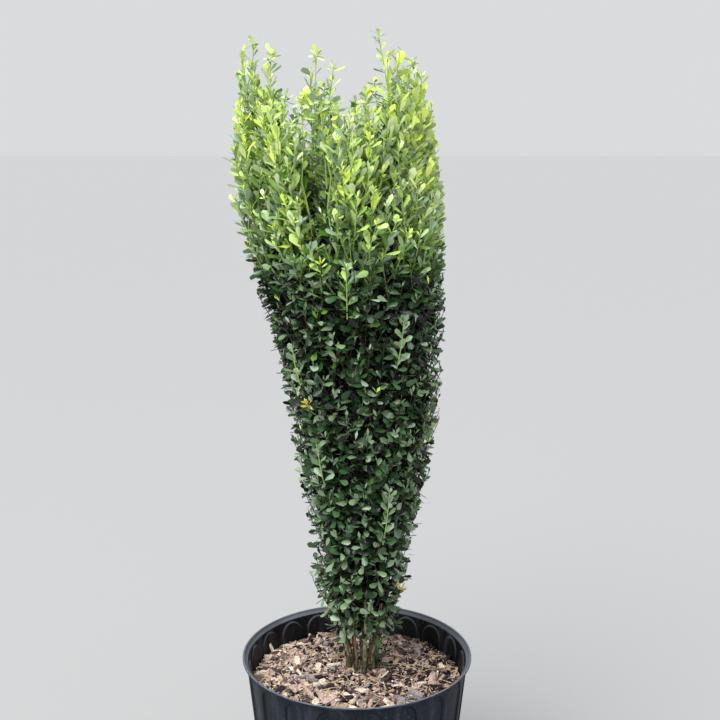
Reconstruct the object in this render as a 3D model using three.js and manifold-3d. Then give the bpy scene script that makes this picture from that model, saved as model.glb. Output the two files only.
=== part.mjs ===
// A Japanese holly in a nursery pot, in millimetres, +Z up. The origin is the middle of the pot's
// flat underside, and the plant's best side looks towards -Y.
// The plant is a short flared trunk, nine fanned stems and a vase of small leaves. Each stem
// ends where it enters its own mass of foliage, and short leafy sprigs stand round the stems' feet.
import * as THREE from "three";
import { mergeVertices } from "three/addons/utils/BufferGeometryUtils.js";
import Module from "manifold-3d";

const wasm = await Module();
wasm.setup();

// Driving dimensions
const clearance = 0.3; // between pieces that touch
const grid = 1e-3; // corners of a fused piece lie on this grid, so that close ones are welded
const facets = 40; // round the pot and the soil, two to a flute

const pot = {
  height: 240,
  lipRadius: 140,
  topRadius: 136,
  footRadius: 112,
  undersideRadius: 105,
  footHeight: 12,
  wall: 2.6,
  floor: 3,
  lipHeight: 8,
  lipUnder: 3, // rise of the lip's sloped underside
  lipBevel: 2,
  footInset: 1, // of the rounded foot
  footRise: 6,
};
const flute = {
  count: 20,
  width: 32,
  depth: 2.3,
  belowRim: 13, // from the rim down to the round top of a flute
  foot: 20,
  phase: THREE.MathUtils.degToRad(-84.5),
  archSteps: 4,
  cutDepth: 12, // of its cutter, well past the wall's outer face
};
const drain = { count: 6, radius: 7, height: 3, reach: 24, sides: 6 };

const soil = {
  edge: 205, // height where it meets the wall
  top: 217, // height of the level middle, where the plant stands
  levelRadius: 32,
  moundCurve: 0.8,
  rings: 2,
  lump: 1.8,
  lumpLength: 30,
  floorInset: 2, // from the pot's underside to the filling's
  footInset: 0.2,
};

const foot = { x: 8, y: 4 }; // the plant's foot, a little off the pot's axis
const trunk = {
  height: 22,
  radii: [29, 24.1, 22.5, 21], // upwards from the soil
  flatness: 0.86,
  lobes: 5,
  lobe: 0.1,
  sides: 16,
};
const stem = {
  ring: 14, // radius of the ring of stems on the trunk
  baseRadius: 3,
  endRadius: 2.2,
  end: 338, // height where a stem enters its foliage
  sides: 6,
  steps: 4,
  bend: 0.9,
  bowStart: 0.12, // share of a bow that is already reached at the trunk
  sway: 1.6,
};
const limbMargin = 0.35; // kept round the stems by a low sprig

// The crown's outline: a vase that widens up to a height and then rounds over
const crown = {
  low: 250,
  wide: 790,
  lowRadius: 33,
  wideRadius: 123,
  roundOver: 261,
  swell: 0.75,
  leanFrom: 500, // above this the crown drifts to the left
  leanTo: 900,
  lean: -37,
  centreShare: 0.3, // of the crown's radius, for the mass in the middle
  spaceGap: 0.7,
  loose: 1.03, // leaves may pass the outline by this share and by the margin
  margin: 3,
};

// Masses of foliage, anticlockwise from the right: the height of the tallest shoot, then the girth
// of the stem below and how far it bows outwards
const sectors = [
  ["right", 953, 0.95, 1],
  ["back_right", 930, 1, 0],
  ["back", 925, 0.85, 2],
  ["back_left", 915, 1, 0],
  ["left", 972, 1.25, 8],
  ["front_left", 950, 0.9, 0],
  ["front", 955, 1.1, 0],
  ["front_right", 977, 1, 0],
];
const centre = { top: 915, girth: 0.9 };
const sectorTurn = THREE.MathUtils.degToRad(360 / sectors.length);
const sectorStart = THREE.MathUtils.degToRad(7);
const sectorWave = { size: THREE.MathUtils.degToRad(4), step: 2.4, start: 1 };

// The stems that carry a low sprig; the others stand bare
const sprigStems = ["right", "back", "left", "front_left", "front_right"];

const leaf = {
  length: 37,
  width: 19,
  widest: 0.56,
  keel: 0.38,
  thick: 2,
  angle: 46, // from its twig
  tipAngle: 12,
  roll: 50,
  sizes: [0.84, 1.1],
  angleStray: 16,
  turnStray: 0.5,
  sunk: 1.2, // a root, behind the middle of its twig or in from its tip
  outerTurns: [-78, 70, 4, -42, 38].map(THREE.MathUtils.degToRad), // from the outward direction
};
const twig = { radius: 1.7, tipShare: 0.6, steps: 2, sides: 3 };
const shootSizes = [1, 0.8, 0.6]; // tried in turn until a shoot fits
const golden = THREE.MathUtils.degToRad(137.5);

// The growth rule of a mass, shared by all
const massStem = {
  seed: 101,
  seedStep: 17,
  radius: 2.6,
  shares: [0.58, 0.72], // of the crown's radius, at the mass's foot and at its widest
  steps: 7,
  leaves: 4,
  from: 0.9,
};
const sideShoot = {
  count: 7,
  low: 8, // above the mass's foot
  high: 165, // below the mass's top
  lean: 48,
  endLean: 2,
  inset: 8, // from its tip to the crown's outline
  extra: 8,
  turns: [0, 52, -52, 22, -80, -22, 80].map(THREE.MathUtils.degToRad),
  leaves: 3,
  from: 0.62,
};
const topShoot = {
  count: 3,
  start: 150, // below the mass's top
  startStep: 12,
  turn: THREE.MathUtils.degToRad(15),
  lengths: [0.85, 0.73, 0.61], // of the way to the mass's top
  lean: 30,
  endLean: 2,
  leaves: 5,
  from: 0.42,
};

// The dense inside of a mass, a wedge that keeps clear of its neighbours
const core = {
  low: 8, // above the mass's foot
  high: 88, // below the mass's top
  inset: 19, // behind the crown's outline, the depth in which leaves stand
  sideGap: 2,
  lump: 0.26,
  lumpTurns: 3,
  lumpLength: 140,
  sides: 8,
  steps: 7,
  squareness: 0.7,
  girths: [0.42, 0.84, 1, 1, 1, 0.94, 0.74, 0.34],
  leaves: 15,
  leafRise: 60, // a leaf's angle above level
  leafSpread: 38,
  leafStray: 0.2,
  leafLow: 2, // below the wedge's foot
  sunk: 5,
};
const sprig = {
  seed: 911,
  seedStep: 31,
  low: 244,
  spread: 16,
  aboveSoil: 10,
  belowFoliage: 2,
  length: 70,
  lean: 46,
  endLean: 16,
  reach: 18,
  leaves: 7,
  from: 0.2,
  seatStep: 0.05, // moved up to its stem in these steps
};
const sprigShoot = {
  starts: [0.2, 0.45],
  turns: [62, -62].map(THREE.MathUtils.degToRad),
  length: 42,
  lean: 60,
  endLean: 16,
  leaves: 3,
  from: 0.4,
};

const up = new THREE.Vector3(0, 0, 1);
const { lerp, clamp, degToRad, smoothstep } = THREE.MathUtils;

// The same numbers every time, from 0 to 1
function seeded(seed) {
  let state = seed >>> 0;
  return () => {
    state = (Math.imul(state, 1664525) + 1013904223) >>> 0;
    return state / 2 ** 32;
  };
}

function solidOf(geometry) {
  const loose = geometry.index ? geometry.toNonIndexed() : geometry;
  const bare = new THREE.BufferGeometry().setAttribute("position", loose.getAttribute("position"));
  const merged = mergeVertices(bare, 1e-3);
  return new wasm.Manifold(
    new wasm.Mesh({
      numProp: 3,
      vertProperties: merged.attributes.position.array,
      triVerts: new Uint32Array(merged.index.array),
    }),
  );
}

function geometryOf(solid) {
  const mesh = solid.getMesh();
  const places = new Float32Array(mesh.numVert * 3);
  for (let i = 0; i < places.length; i++) {
    const source = Math.floor(i / 3) * mesh.numProp + (i % 3);
    places[i] = Math.round(mesh.vertProperties[source] / grid) * grid;
  }
  return new THREE.BufferGeometry()
    .setAttribute("position", new THREE.BufferAttribute(places, 3))
    .setIndex(new THREE.BufferAttribute(mesh.triVerts, 1));
}

const largestOf = (solid) =>
  solid.decompose().reduce((best, body) => (body.volume() > best.volume() ? body : best));

// The largest of a solid's separate bodies, without its hollows and without the slivers that show
// up once its corners are welded
function wholeOf(solid) {
  return largestOf(solidOf(geometryOf(largestOf(solid))));
}

// A cylinder whose points are placed by placeAt(share, angle, out), where out is 0 on the axis
function bentCylinder(sides, steps, placeAt) {
  const shape = new THREE.CylinderGeometry(1, 1, 1, sides, steps);
  const places = shape.getAttribute("position");
  for (let i = 0; i < places.count; i++) {
    const [x, y, z] = [places.getX(i), places.getY(i), places.getZ(i)];
    const place = placeAt(clamp(y + 0.5, 0, 1), Math.atan2(-z, x), Math.round(Math.hypot(x, z)));
    places.setXYZ(i, place.x, place.y, place.z);
  }
  return shape;
}

const levelHeading = (turn) => new THREE.Vector3(Math.cos(turn), Math.sin(turn), 0);

// A point of a level ring
const levelPoint = (centre, angle, radius) => centre.clone().addScaledVector(levelHeading(angle), radius);

// The pot

const wallRadius = (z) =>
  lerp(pot.footRadius, pot.topRadius, (z - pot.footHeight) / (pot.height - pot.footHeight));

function potProfile() {
  const wallTop = pot.height - pot.lipHeight;
  return [
    [0, 0],
    [pot.undersideRadius, 0],
    [pot.footRadius - pot.footInset, pot.footRise],
    [pot.footRadius, pot.footHeight],
    [wallRadius(wallTop), wallTop],
    [pot.lipRadius, wallTop + pot.lipUnder],
    [pot.lipRadius, pot.height - pot.lipBevel],
    [pot.lipRadius - pot.lipBevel, pot.height],
    [wallRadius(wallTop) - pot.wall, pot.height - 1],
    [wallRadius(wallTop) - pot.wall, wallTop],
    [pot.footRadius - pot.wall, pot.footHeight],
    [pot.undersideRadius - 1, pot.floor],
    [0, pot.floor],
  ].map(([radius, height]) => new THREE.Vector2(radius, height));
}

// One flute's cutter: a panel with a round top that stands outwards from the flute's floor
function fluteCutter(angle) {
  const half = flute.width / 2;
  const rise = pot.height - flute.belowRim - flute.foot;
  const outline = new THREE.Shape()
    .moveTo(-half, 0)
    .lineTo(half, 0)
    .lineTo(half, rise - half)
    .absarc(0, rise - half, half, 0, Math.PI, false);
  const panel = new THREE.ExtrudeGeometry(outline, {
    depth: flute.cutDepth,
    bevelEnabled: false,
    curveSegments: flute.archSteps,
  });
  const out = levelHeading(angle);
  const across = new THREE.Vector3().crossVectors(up, out);
  const slope = out.clone().multiplyScalar(pot.topRadius - pot.footRadius);
  slope.z = pot.height - pot.footHeight;
  slope.normalize();
  const normal = new THREE.Vector3().crossVectors(across, slope);
  const start = out.clone().multiplyScalar(wallRadius(flute.foot) - flute.depth).setZ(flute.foot);
  panel.applyMatrix4(new THREE.Matrix4().makeBasis(across, slope, normal).setPosition(start));
  return solidOf(panel);
}

// One drain hole's cutter: a bar that lies along the radius at the foot
function drainCutter(angle) {
  const bar = new THREE.CylinderGeometry(drain.radius, drain.radius, drain.reach, drain.sides);
  bar.rotateZ(Math.PI / 2).translate(pot.footRadius, 0, drain.height).rotateZ(angle);
  return solidOf(bar);
}

function potSolid() {
  const turned = new THREE.LatheGeometry(potProfile(), facets);
  turned.rotateX(Math.PI / 2).rotateZ(Math.PI / 2 + flute.phase);
  const cutters = [];
  for (let i = 0; i < flute.count; i++) {
    cutters.push(fluteCutter(flute.phase + (i * 2 * Math.PI) / flute.count));
  }
  for (let i = 0; i < drain.count; i++) {
    cutters.push(drainCutter(flute.phase + ((i + 0.5) * 2 * Math.PI) / drain.count));
  }
  return wholeOf(solidOf(turned).subtract(wasm.Manifold.union(cutters)));
}

// The soil, a shallow mound that fills the pot

function soilGeometry() {
  const wallAt = (z) => wallRadius(z) - pot.wall - clearance;
  const edge = wallAt(soil.edge);
  const profile = [
    [0, pot.floor + clearance],
    [pot.undersideRadius - soil.floorInset, pot.floor + clearance],
    [wallAt(pot.footHeight) - soil.footInset, pot.footHeight],
    [edge, soil.edge],
  ];
  for (let i = 1; i <= soil.rings; i++) {
    const share = i / soil.rings;
    const height = lerp(soil.edge, soil.top, share ** soil.moundCurve);
    profile.push([lerp(edge, soil.levelRadius, share), height]);
  }
  profile.push([0, soil.top]);
  const points = profile.map(([radius, height]) => new THREE.Vector2(radius, height));
  const shape = new THREE.LatheGeometry(points, facets);
  shape.rotateX(Math.PI / 2).rotateZ(Math.PI / 2 + flute.phase);
  const places = shape.getAttribute("position");
  for (let i = 0; i < places.count; i++) {
    const [x, y, z] = [places.getX(i), places.getY(i), places.getZ(i)];
    if (z < soil.edge + 1 || Math.hypot(x, y) < soil.levelRadius + 1) continue;
    const turn = (2 * Math.PI) / soil.lumpLength;
    places.setZ(i, z + soil.lump * Math.sin(turn * x) * Math.cos(turn * y));
  }
  return shape;
}

// The crown's outline and its sectors

function crownRadius(z) {
  const share = clamp((z - crown.low) / (crown.wide - crown.low), 0, 1);
  const widening = lerp(crown.lowRadius, crown.wideRadius, share ** crown.swell);
  const above = clamp((z - crown.wide) / crown.roundOver, 0, 1);
  return widening * Math.sqrt(1 - above * above);
}

function crownCentre(z) {
  const x = foot.x + crown.lean * smoothstep(z, crown.leanFrom, crown.leanTo);
  return new THREE.Vector3(x, foot.y, z);
}

function sectorEdge(index) {
  const wave = Math.sin(sectorWave.step * (index % sectors.length) + sectorWave.start);
  return sectorStart + (index - 0.5) * sectorTurn + sectorWave.size * wave;
}

// The space between two upright planes through the crown's middle: its outward direction, the
// direction across it and the normals of its two sides, which point into it
function sectorBetween(first, last) {
  const middle = (first + last) / 2;
  return {
    angle: middle,
    half: (last - first) / 2,
    out: levelHeading(middle),
    across: levelHeading(middle + Math.PI / 2),
    inwards: [levelHeading(first + Math.PI / 2), levelHeading(last - Math.PI / 2)],
  };
}

function inSector(sector, place, inner, outer) {
  const from = place.clone().sub(crownCentre(place.z)).setZ(0);
  if (!sector) return from.length() < inner - crown.spaceGap;
  return (
    from.dot(sector.out) > inner + crown.spaceGap &&
    from.length() < outer &&
    sector.inwards.every((normal) => from.dot(normal) > crown.spaceGap)
  );
}

// Whether a place is in the space of a mass of foliage
function inMass(mass, place) {
  if (place.z < stem.end + clearance || place.z > mass.top) return false;
  const radius = crownRadius(place.z);
  return inSector(mass.sector, place, crown.centreShare * radius, crown.loose * radius + crown.margin);
}

// The trunk and the stems

function trunkGeometry() {
  const steps = trunk.radii.length - 1;
  return bentCylinder(trunk.sides, steps, (share, angle, out) => {
    const centre = new THREE.Vector3(foot.x, foot.y, soil.top + clearance + trunk.height * share);
    const lobe = 1 + trunk.lobe * (1 - share) ** 2 * Math.cos(trunk.lobes * angle);
    const place = levelPoint(centre, angle, trunk.radii[Math.round(share * steps)] * lobe * out);
    place.y = lerp(foot.y, place.y, lerp(trunk.flatness, 1, share));
    return place;
  });
}

const stemLow = soil.top + trunk.height + 2 * clearance;

// A stem's middle line, by height. It bends out from the trunk to its place in the crown, some
// stems in a bow.
function stemPlace(mass, z) {
  const share = clamp((z - stemLow) / (stem.end - stemLow), 0, 1);
  const place = crownCentre(z);
  if (mass.sector) {
    const end = massStem.shares[0] * crownRadius(stem.end);
    const bow = mass.bow * Math.sin(Math.PI * lerp(stem.bowStart, 1, share));
    place.addScaledVector(mass.sector.out, lerp(stem.ring, end, share ** stem.bend) + bow);
  }
  const turn = mass.index * golden;
  const sway = stem.sway * Math.sin(Math.PI * share) * Math.sin(2 * Math.PI * share + turn);
  return levelPoint(place, turn, sway);
}

const stemRadius = (mass, share) => mass.girth * lerp(stem.baseRadius, stem.endRadius, share);

function stemGeometry(mass, extra = 0) {
  return bentCylinder(stem.sides, stem.steps, (share, angle, out) => {
    const centre = stemPlace(mass, lerp(stemLow, stem.end, share));
    return levelPoint(centre, angle, (stemRadius(mass, share) + extra) * out);
  });
}

// A mass's own stem, which runs on from the bough up to the mass's top
function massStemPlace(mass, z) {
  if (!mass.sector) return crownCentre(z);
  const share = clamp((z - stem.end) / (crown.wide - stem.end), 0, 1);
  const out = lerp(...massStem.shares, share) * crownRadius(z);
  return crownCentre(z).addScaledVector(mass.sector.out, out);
}

// Twigs and leaves

// Points of a shoot that starts at an angle from upright and straightens as it grows
function shootPath(start, heading, length, lean, endLean, steps) {
  const points = [start.clone()];
  for (let i = 0; i < steps; i++) {
    const angle = degToRad(lerp(lean, endLean, (i + 0.5) / steps));
    const step = heading.clone().multiplyScalar(Math.sin(angle)).addScaledVector(up, Math.cos(angle));
    points.push(points[i].clone().addScaledVector(step, length / steps));
  }
  return points;
}

function onPath(points, share) {
  const along = clamp(share, 0, 1) * (points.length - 1);
  const index = Math.min(Math.floor(along), points.length - 2);
  return {
    place: points[index].clone().lerp(points[index + 1], along - index),
    heading: points[index + 1].clone().sub(points[index]).normalize(),
  };
}

// Two directions across a heading
function acrossOf(heading) {
  const side = new THREE.Vector3(0, 1, 0).cross(heading);
  if (side.length() < 0.1) side.set(1, 0, 0).cross(heading);
  side.normalize();
  return [side, new THREE.Vector3().crossVectors(heading, side)];
}

function twigGeometry(points, radius, endRadius) {
  return bentCylinder(twig.sides, points.length - 1, (share, angle, out) => {
    const { place, heading } = onPath(points, share);
    const [side, other] = acrossOf(heading);
    const around = lerp(radius, endRadius, share) * out;
    place.addScaledVector(side, around * Math.cos(angle));
    return place.addScaledVector(other, around * Math.sin(angle));
  });
}

// A leaf that lies along +X, flat above and keeled below, with its pointed root at the origin
function leafShape() {
  const { length, width, widest, keel, thick } = leaf;
  const corners = [
    [0, 0, 0],
    [widest * length, -width / 2, 0],
    [length, 0, 0],
    [widest * length, width / 2, 0],
    [keel * length, 0, -thick],
  ];
  const faces = [
    [0, 1, 3],
    [1, 2, 3],
    [1, 0, 4],
    [2, 1, 4],
    [3, 2, 4],
    [0, 3, 4],
  ];
  return new THREE.BufferGeometry()
    .setAttribute("position", new THREE.Float32BufferAttribute(corners.flat(), 3))
    .setIndex(faces.flat());
}
const leafTemplate = leafShape();

// The leaf's shape at a place, along one direction and across another
function leafAt(place, along, across, size) {
  const above = new THREE.Vector3().crossVectors(along, across);
  const frame = new THREE.Matrix4().makeBasis(along, across, above);
  frame.scale(new THREE.Vector3(size, size, size)).setPosition(place);
  return leafTemplate.clone().applyMatrix4(frame);
}

// A leaf on a shoot, which leaves it towards outwards at an angle and is rolled about itself, its
// upper face towards the shoot's tip
function shootLeaf(place, heading, outwards, angle, roll, size) {
  const along = heading.clone().multiplyScalar(Math.cos(angle)).addScaledVector(outwards, Math.sin(angle));
  const across = new THREE.Vector3().crossVectors(heading, outwards).applyAxisAngle(along, roll);
  return leafAt(place.addScaledVector(along, -leaf.sunk), along, across, size);
}

function cornersOf(geometry) {
  const places = geometry.getAttribute("position");
  const corner = (_, i) => new THREE.Vector3().fromBufferAttribute(places, i);
  return Array.from({ length: places.count }, corner);
}

const leafSize = (draw) => lerp(...leaf.sizes, draw());

// Adds leaves along a shoot, from one share of its length to its tip, all round it or on the side
// that it faces. A leaf that doesn't fit the space is skipped.
function addLeaves(parts, points, { leaves, from, facing }, draw, fits) {
  for (let i = 0; i < leaves; i++) {
    const atTip = i === leaves - 1;
    const { place, heading } = onPath(points, lerp(from, 1, i / (leaves - 1)));
    const [side] = acrossOf(heading);
    if (facing) side.copy(facing).addScaledVector(heading, -facing.dot(heading)).normalize();
    const turn = facing ? leaf.outerTurns[i % leaf.outerTurns.length] : i * golden + points[0].z;
    const outwards = side.applyAxisAngle(heading, turn + leaf.turnStray * (draw() - 0.5));
    const angle = atTip ? leaf.tipAngle : leaf.angle + leaf.angleStray * (draw() - 0.5);
    const roll = degToRad(leaf.roll * (draw() - 0.5));
    const size = atTip ? leaf.sizes[0] : leafSize(draw);
    const shape = shootLeaf(place, heading, outwards, degToRad(angle), roll, size);
    if (fits(shape)) parts.push(solidOf(shape));
  }
}

// Adds a shoot with its leaves, shortened until it fits the space. Returns its points if it fits.
function addShoot(parts, start, heading, shoot, draw, fits) {
  for (const share of shootSizes) {
    const points = shootPath(start, heading, shoot.length * share, shoot.lean, shoot.endLean, twig.steps);
    const shape = twigGeometry(points, twig.radius, twig.radius * twig.tipShare);
    if (!fits(shape)) continue;
    parts.push(solidOf(shape));
    addLeaves(parts, points, shoot, draw, fits);
    return points;
  }
  return null;
}

// How far out the wedge of a mass reaches at a height, from its inner to its outer face
function coreReach(mass, z) {
  const radius = crownRadius(z);
  const inner = mass.sector ? crown.centreShare * radius + core.sideGap : 0;
  const outer = mass.sector ? radius - core.inset : crown.centreShare * radius - core.sideGap;
  const share = clamp((z - coreLow(mass)) / (coreHigh(mass) - coreLow(mass)), 0, 1) * core.steps;
  const index = Math.min(Math.floor(share), core.steps - 1);
  const girth = lerp(core.girths[index], core.girths[index + 1], share - index);
  return { middle: (inner + outer) / 2, deep: ((outer - inner) / 2) * girth, outer, girth };
}
const coreLow = () => stem.end + clearance + core.low;
const coreHigh = (mass) => mass.top - core.high;

// A point on the lumpy face of the wedge, at an angle from its outward direction
function corePoint(mass, z, angle, out) {
  const { middle, deep, outer, girth } = coreReach(mass, z);
  const rise = (2 * Math.PI * z) / core.lumpLength;
  const wave = Math.sin(core.lumpTurns * angle + rise + mass.index) * Math.cos(rise / 2 - 2 * angle);
  const swell = (1 - core.lump * (0.5 + 0.5 * wave)) * out;
  if (!mass.sector) return levelPoint(crownCentre(z), angle, outer * girth * swell);
  const square = (value) => Math.sign(value) * Math.abs(value) ** core.squareness;
  const away = middle + deep * square(Math.cos(angle)) * swell;
  const side = away * Math.tan(mass.sector.half) - core.sideGap;
  return crownCentre(z)
    .addScaledVector(mass.sector.out, away)
    .addScaledVector(mass.sector.across, side * girth * square(Math.sin(angle)) * swell);
}

function coreGeometry(mass) {
  return bentCylinder(core.sides, core.steps, (share, angle, out) =>
    corePoint(mass, lerp(coreLow(mass), coreHigh(mass), share), angle, out),
  );
}

// Leaves that stand out of the wedge's outer face
function addCoreLeaves(parts, mass, draw, fits) {
  const rise = degToRad(core.leafRise);
  for (let i = 0; i < core.leaves; i++) {
    const share = (i + 0.5) / core.leaves;
    const z = lerp(coreLow(mass) - core.leafLow, coreHigh(mass) - leaf.length / 2, share);
    const angle = degToRad(core.leafSpread) * Math.sin(i * golden + mass.index);
    const out = mass.sector.out.clone().applyAxisAngle(up, core.leafStray * (draw() - 0.5));
    const along = out.clone().multiplyScalar(Math.cos(rise)).addScaledVector(up, Math.sin(rise));
    const roll = degToRad(leaf.roll * 2 * (draw() - 0.5));
    const across = new THREE.Vector3().crossVectors(up, out).applyAxisAngle(along, roll);
    const place = corePoint(mass, z, angle, 1).addScaledVector(along, -core.sunk);
    const shape = leafAt(place, along, across, leafSize(draw));
    if (fits(shape)) parts.push(solidOf(shape));
  }
}

// Side shoots that reach from the mass's stem to the crown's outline
function addSideShoots(parts, mass, draw, fits) {
  const meanLean = degToRad((sideShoot.lean + sideShoot.endLean) / 2);
  const low = stem.end + clearance + sideShoot.low;
  for (let i = 0; i < sideShoot.count; i++) {
    const z = lerp(low, mass.top - sideShoot.high, i / (sideShoot.count - 1));
    const start = massStemPlace(mass, z);
    const reach = crownRadius(z) - sideShoot.inset - start.distanceTo(crownCentre(z));
    const length = reach / Math.sin(meanLean) + sideShoot.extra * draw();
    const turn = sideShoot.turns[i % sideShoot.turns.length];
    const shoot = { ...sideShoot, length, facing: mass.sector.out };
    addShoot(parts, start, levelHeading(mass.sector.angle + turn), shoot, draw, fits);
  }
}

// A mass of foliage: its stem, side shoots all the way up, tall shoots at its top, leaves on all
function foliageSolid(mass) {
  const draw = seeded(massStem.seed + mass.index * massStem.seedStep);
  const fits = (shape) => cornersOf(shape).every((place) => inMass(mass, place));
  const low = stem.end + clearance;
  const high = mass.top - leaf.length * leaf.sizes[0] + leaf.sunk;
  const stemPoints = [];
  for (let i = 0; i <= massStem.steps; i++) {
    stemPoints.push(massStemPlace(mass, lerp(low, high, i / massStem.steps)));
  }
  const stemShape = bentCylinder(twig.sides, massStem.steps, (share, angle, out) => {
    const radius = lerp(massStem.radius, twig.radius * twig.tipShare, share);
    return levelPoint(onPath(stemPoints, share).place, angle, radius * out);
  });
  const parts = [solidOf(stemShape), solidOf(coreGeometry(mass))];
  addLeaves(parts, stemPoints, massStem, draw, fits);
  if (mass.sector) {
    addCoreLeaves(parts, mass, draw, fits);
    addSideShoots(parts, mass, draw, fits);
  }
  const firstTurn = mass.sector ? mass.sector.angle + topShoot.turn : 0;
  for (let i = 0; i < topShoot.count; i++) {
    const start = massStemPlace(mass, mass.top - topShoot.start + topShoot.startStep * i);
    const heading = levelHeading(firstTurn + (i * 2 * Math.PI) / topShoot.count);
    const shoot = { ...topShoot, length: (mass.top - start.z) * topShoot.lengths[i] };
    addShoot(parts, start, heading, shoot, draw, fits);
  }
  return wholeOf(wasm.Manifold.union(parts));
}

// The low sprigs, each in the space half way to its neighbours on both sides

function sprigSector(index) {
  const turns = sprigStems.map((name) => massNamed(name).sector.angle);
  const count = turns.length;
  const before = turns[(index + count - 1) % count] - (index === 0 ? 2 * Math.PI : 0);
  const after = turns[(index + 1) % count] + (index === count - 1 ? 2 * Math.PI : 0);
  return sectorBetween((before + turns[index]) / 2, (after + turns[index]) / 2);
}

// A leafy sprig that stands out from the side of a stem near its foot
function sprigSolid(mass, index, limbs) {
  const draw = seeded(sprig.seed + index * sprig.seedStep);
  const sector = sprigSector(index);
  const inSpace = (place) =>
    place.z > soil.top + sprig.aboveSoil &&
    place.z < stem.end - sprig.belowFoliage &&
    inSector(sector, place, 0, crownRadius(place.z) + sprig.reach);
  const isClear = (shape) => solidOf(shape).intersect(limbs).isEmpty();
  const fits = (shape) => cornersOf(shape).every(inSpace) && isClear(shape);
  const { out } = mass.sector;
  const start = stemPlace(mass, sprig.low + sprig.spread * draw());
  const twigFrom = (from) => {
    const points = shootPath(from, out, sprig.length, sprig.lean, sprig.endLean, twig.steps);
    return twigGeometry(points, twig.radius, twig.radius * twig.tipShare);
  };
  while (!isClear(twigFrom(start))) start.addScaledVector(out, sprig.seatStep);
  const parts = [];
  const points = addShoot(parts, start, out, sprig, draw, fits);
  sprigShoot.turns.forEach((turn, i) => {
    const { place } = onPath(points, sprigShoot.starts[i]);
    addShoot(parts, place, levelHeading(mass.sector.angle + turn), sprigShoot, draw, fits);
  });
  return wholeOf(wasm.Manifold.union(parts));
}

// The whole plant in its pot

const looks = {
  pot: new THREE.MeshStandardMaterial({ color: 0x23262b, roughness: 0.55 }),
  soil: new THREE.MeshStandardMaterial({ color: 0x6e5244, roughness: 0.95 }),
  bark: new THREE.MeshStandardMaterial({ color: 0x6b6451, roughness: 0.85 }),
  foliage: new THREE.MeshStandardMaterial({ color: 0x3c6a34, roughness: 0.45 }),
};

const plant = new THREE.Group();

function addPiece(name, geometry, look) {
  const piece = new THREE.Mesh(geometry, look);
  piece.name = name;
  plant.add(piece);
}

const masses = sectors.map(([name, top, girth, bow], index) => ({
  name,
  top,
  girth,
  bow,
  index,
  sector: sectorBetween(sectorEdge(index), sectorEdge(index + 1)),
}));
masses.push({ name: "centre", ...centre, index: sectors.length, sector: null });

const massNamed = (name) => masses.find((mass) => mass.name === name);

addPiece("pot", geometryOf(potSolid()), looks.pot);
addPiece("soil", soilGeometry(), looks.soil);
addPiece("trunk", trunkGeometry(), looks.bark);
for (const mass of masses) addPiece(`stem_${mass.name}`, stemGeometry(mass), looks.bark);
for (const mass of masses) {
  addPiece(`foliage_${mass.name}`, geometryOf(foliageSolid(mass)), looks.foliage);
}

const limbs = wasm.Manifold.union(masses.map((mass) => solidOf(stemGeometry(mass, limbMargin))));
sprigStems.forEach((name, index) => {
  addPiece(`low_sprig_${name}`, geometryOf(sprigSolid(massNamed(name), index, limbs)), looks.foliage);
});

export default plant;
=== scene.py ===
from math import atan2, copysign, cos, exp, hypot, pi, radians, sin, sqrt

import bmesh
import bpy
import numpy as np
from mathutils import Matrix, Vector, noise


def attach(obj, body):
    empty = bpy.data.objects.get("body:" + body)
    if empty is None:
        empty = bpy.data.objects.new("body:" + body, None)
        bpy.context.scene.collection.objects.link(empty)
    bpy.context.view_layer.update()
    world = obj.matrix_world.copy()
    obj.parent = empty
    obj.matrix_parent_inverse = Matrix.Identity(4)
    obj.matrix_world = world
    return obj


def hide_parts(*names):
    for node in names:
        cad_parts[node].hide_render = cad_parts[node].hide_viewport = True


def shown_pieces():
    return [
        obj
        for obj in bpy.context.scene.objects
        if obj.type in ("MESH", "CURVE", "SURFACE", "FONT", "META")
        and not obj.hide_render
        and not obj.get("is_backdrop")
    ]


# A japanese holly in a nursery pot. Sizes are in millimetres until a mesh is made.
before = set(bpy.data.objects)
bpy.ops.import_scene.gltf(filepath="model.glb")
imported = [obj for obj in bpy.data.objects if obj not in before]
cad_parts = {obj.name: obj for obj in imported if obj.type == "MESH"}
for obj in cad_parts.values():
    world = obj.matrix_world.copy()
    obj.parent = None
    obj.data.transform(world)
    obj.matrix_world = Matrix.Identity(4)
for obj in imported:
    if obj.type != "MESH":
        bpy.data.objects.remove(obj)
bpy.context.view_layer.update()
scene = bpy.context.scene
mm = 0.001
goldenTurn = radians(137.5)
goldenShare = 0.618
up = np.array([0.0, 0.0, 1.0])
noiseSeed = 7  # without one, the vector noise of chips and bark starts elsewhere in each run
noise.seed_set(noiseSeed)


# Small helpers

def lerp(low, high, share):
    return low + (high - low) * share


def clamp(value, low=0.0, high=1.0):
    return max(low, min(high, value))


def smoothstep(value, low, high):
    share = clamp((value - low) / (high - low))
    return share * share * (3 - 2 * share)


def levelHeading(turn):
    return np.array([cos(turn), sin(turn), 0.0])


def unit(vectors):
    return vectors / np.maximum(np.linalg.norm(vectors, axis=-1, keepdims=True), 1e-9)


def seeded(state):  # the same numbers every time
    def draw(low=0.0, high=1.0):
        nonlocal state
        state = (state * 1664525 + 1013904223) % 2 ** 32
        return low + (high - low) * state / 2 ** 32

    return draw


def addObject(name, data):
    data.name = name
    made = bpy.data.objects.new(name, data)
    scene.collection.objects.link(made)
    return made


def addPiece(name, mesh, replaced, looks):
    for look in looks:
        mesh.materials.append(look)
    piece = addObject(name, mesh)
    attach(piece, "root")
    if replaced:
        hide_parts(*replaced)


def shaded(mesh, smoothAngle):
    mesh.shade_smooth()
    mesh.set_sharp_from_angle(angle=radians(smoothAngle))
    return mesh


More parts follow.
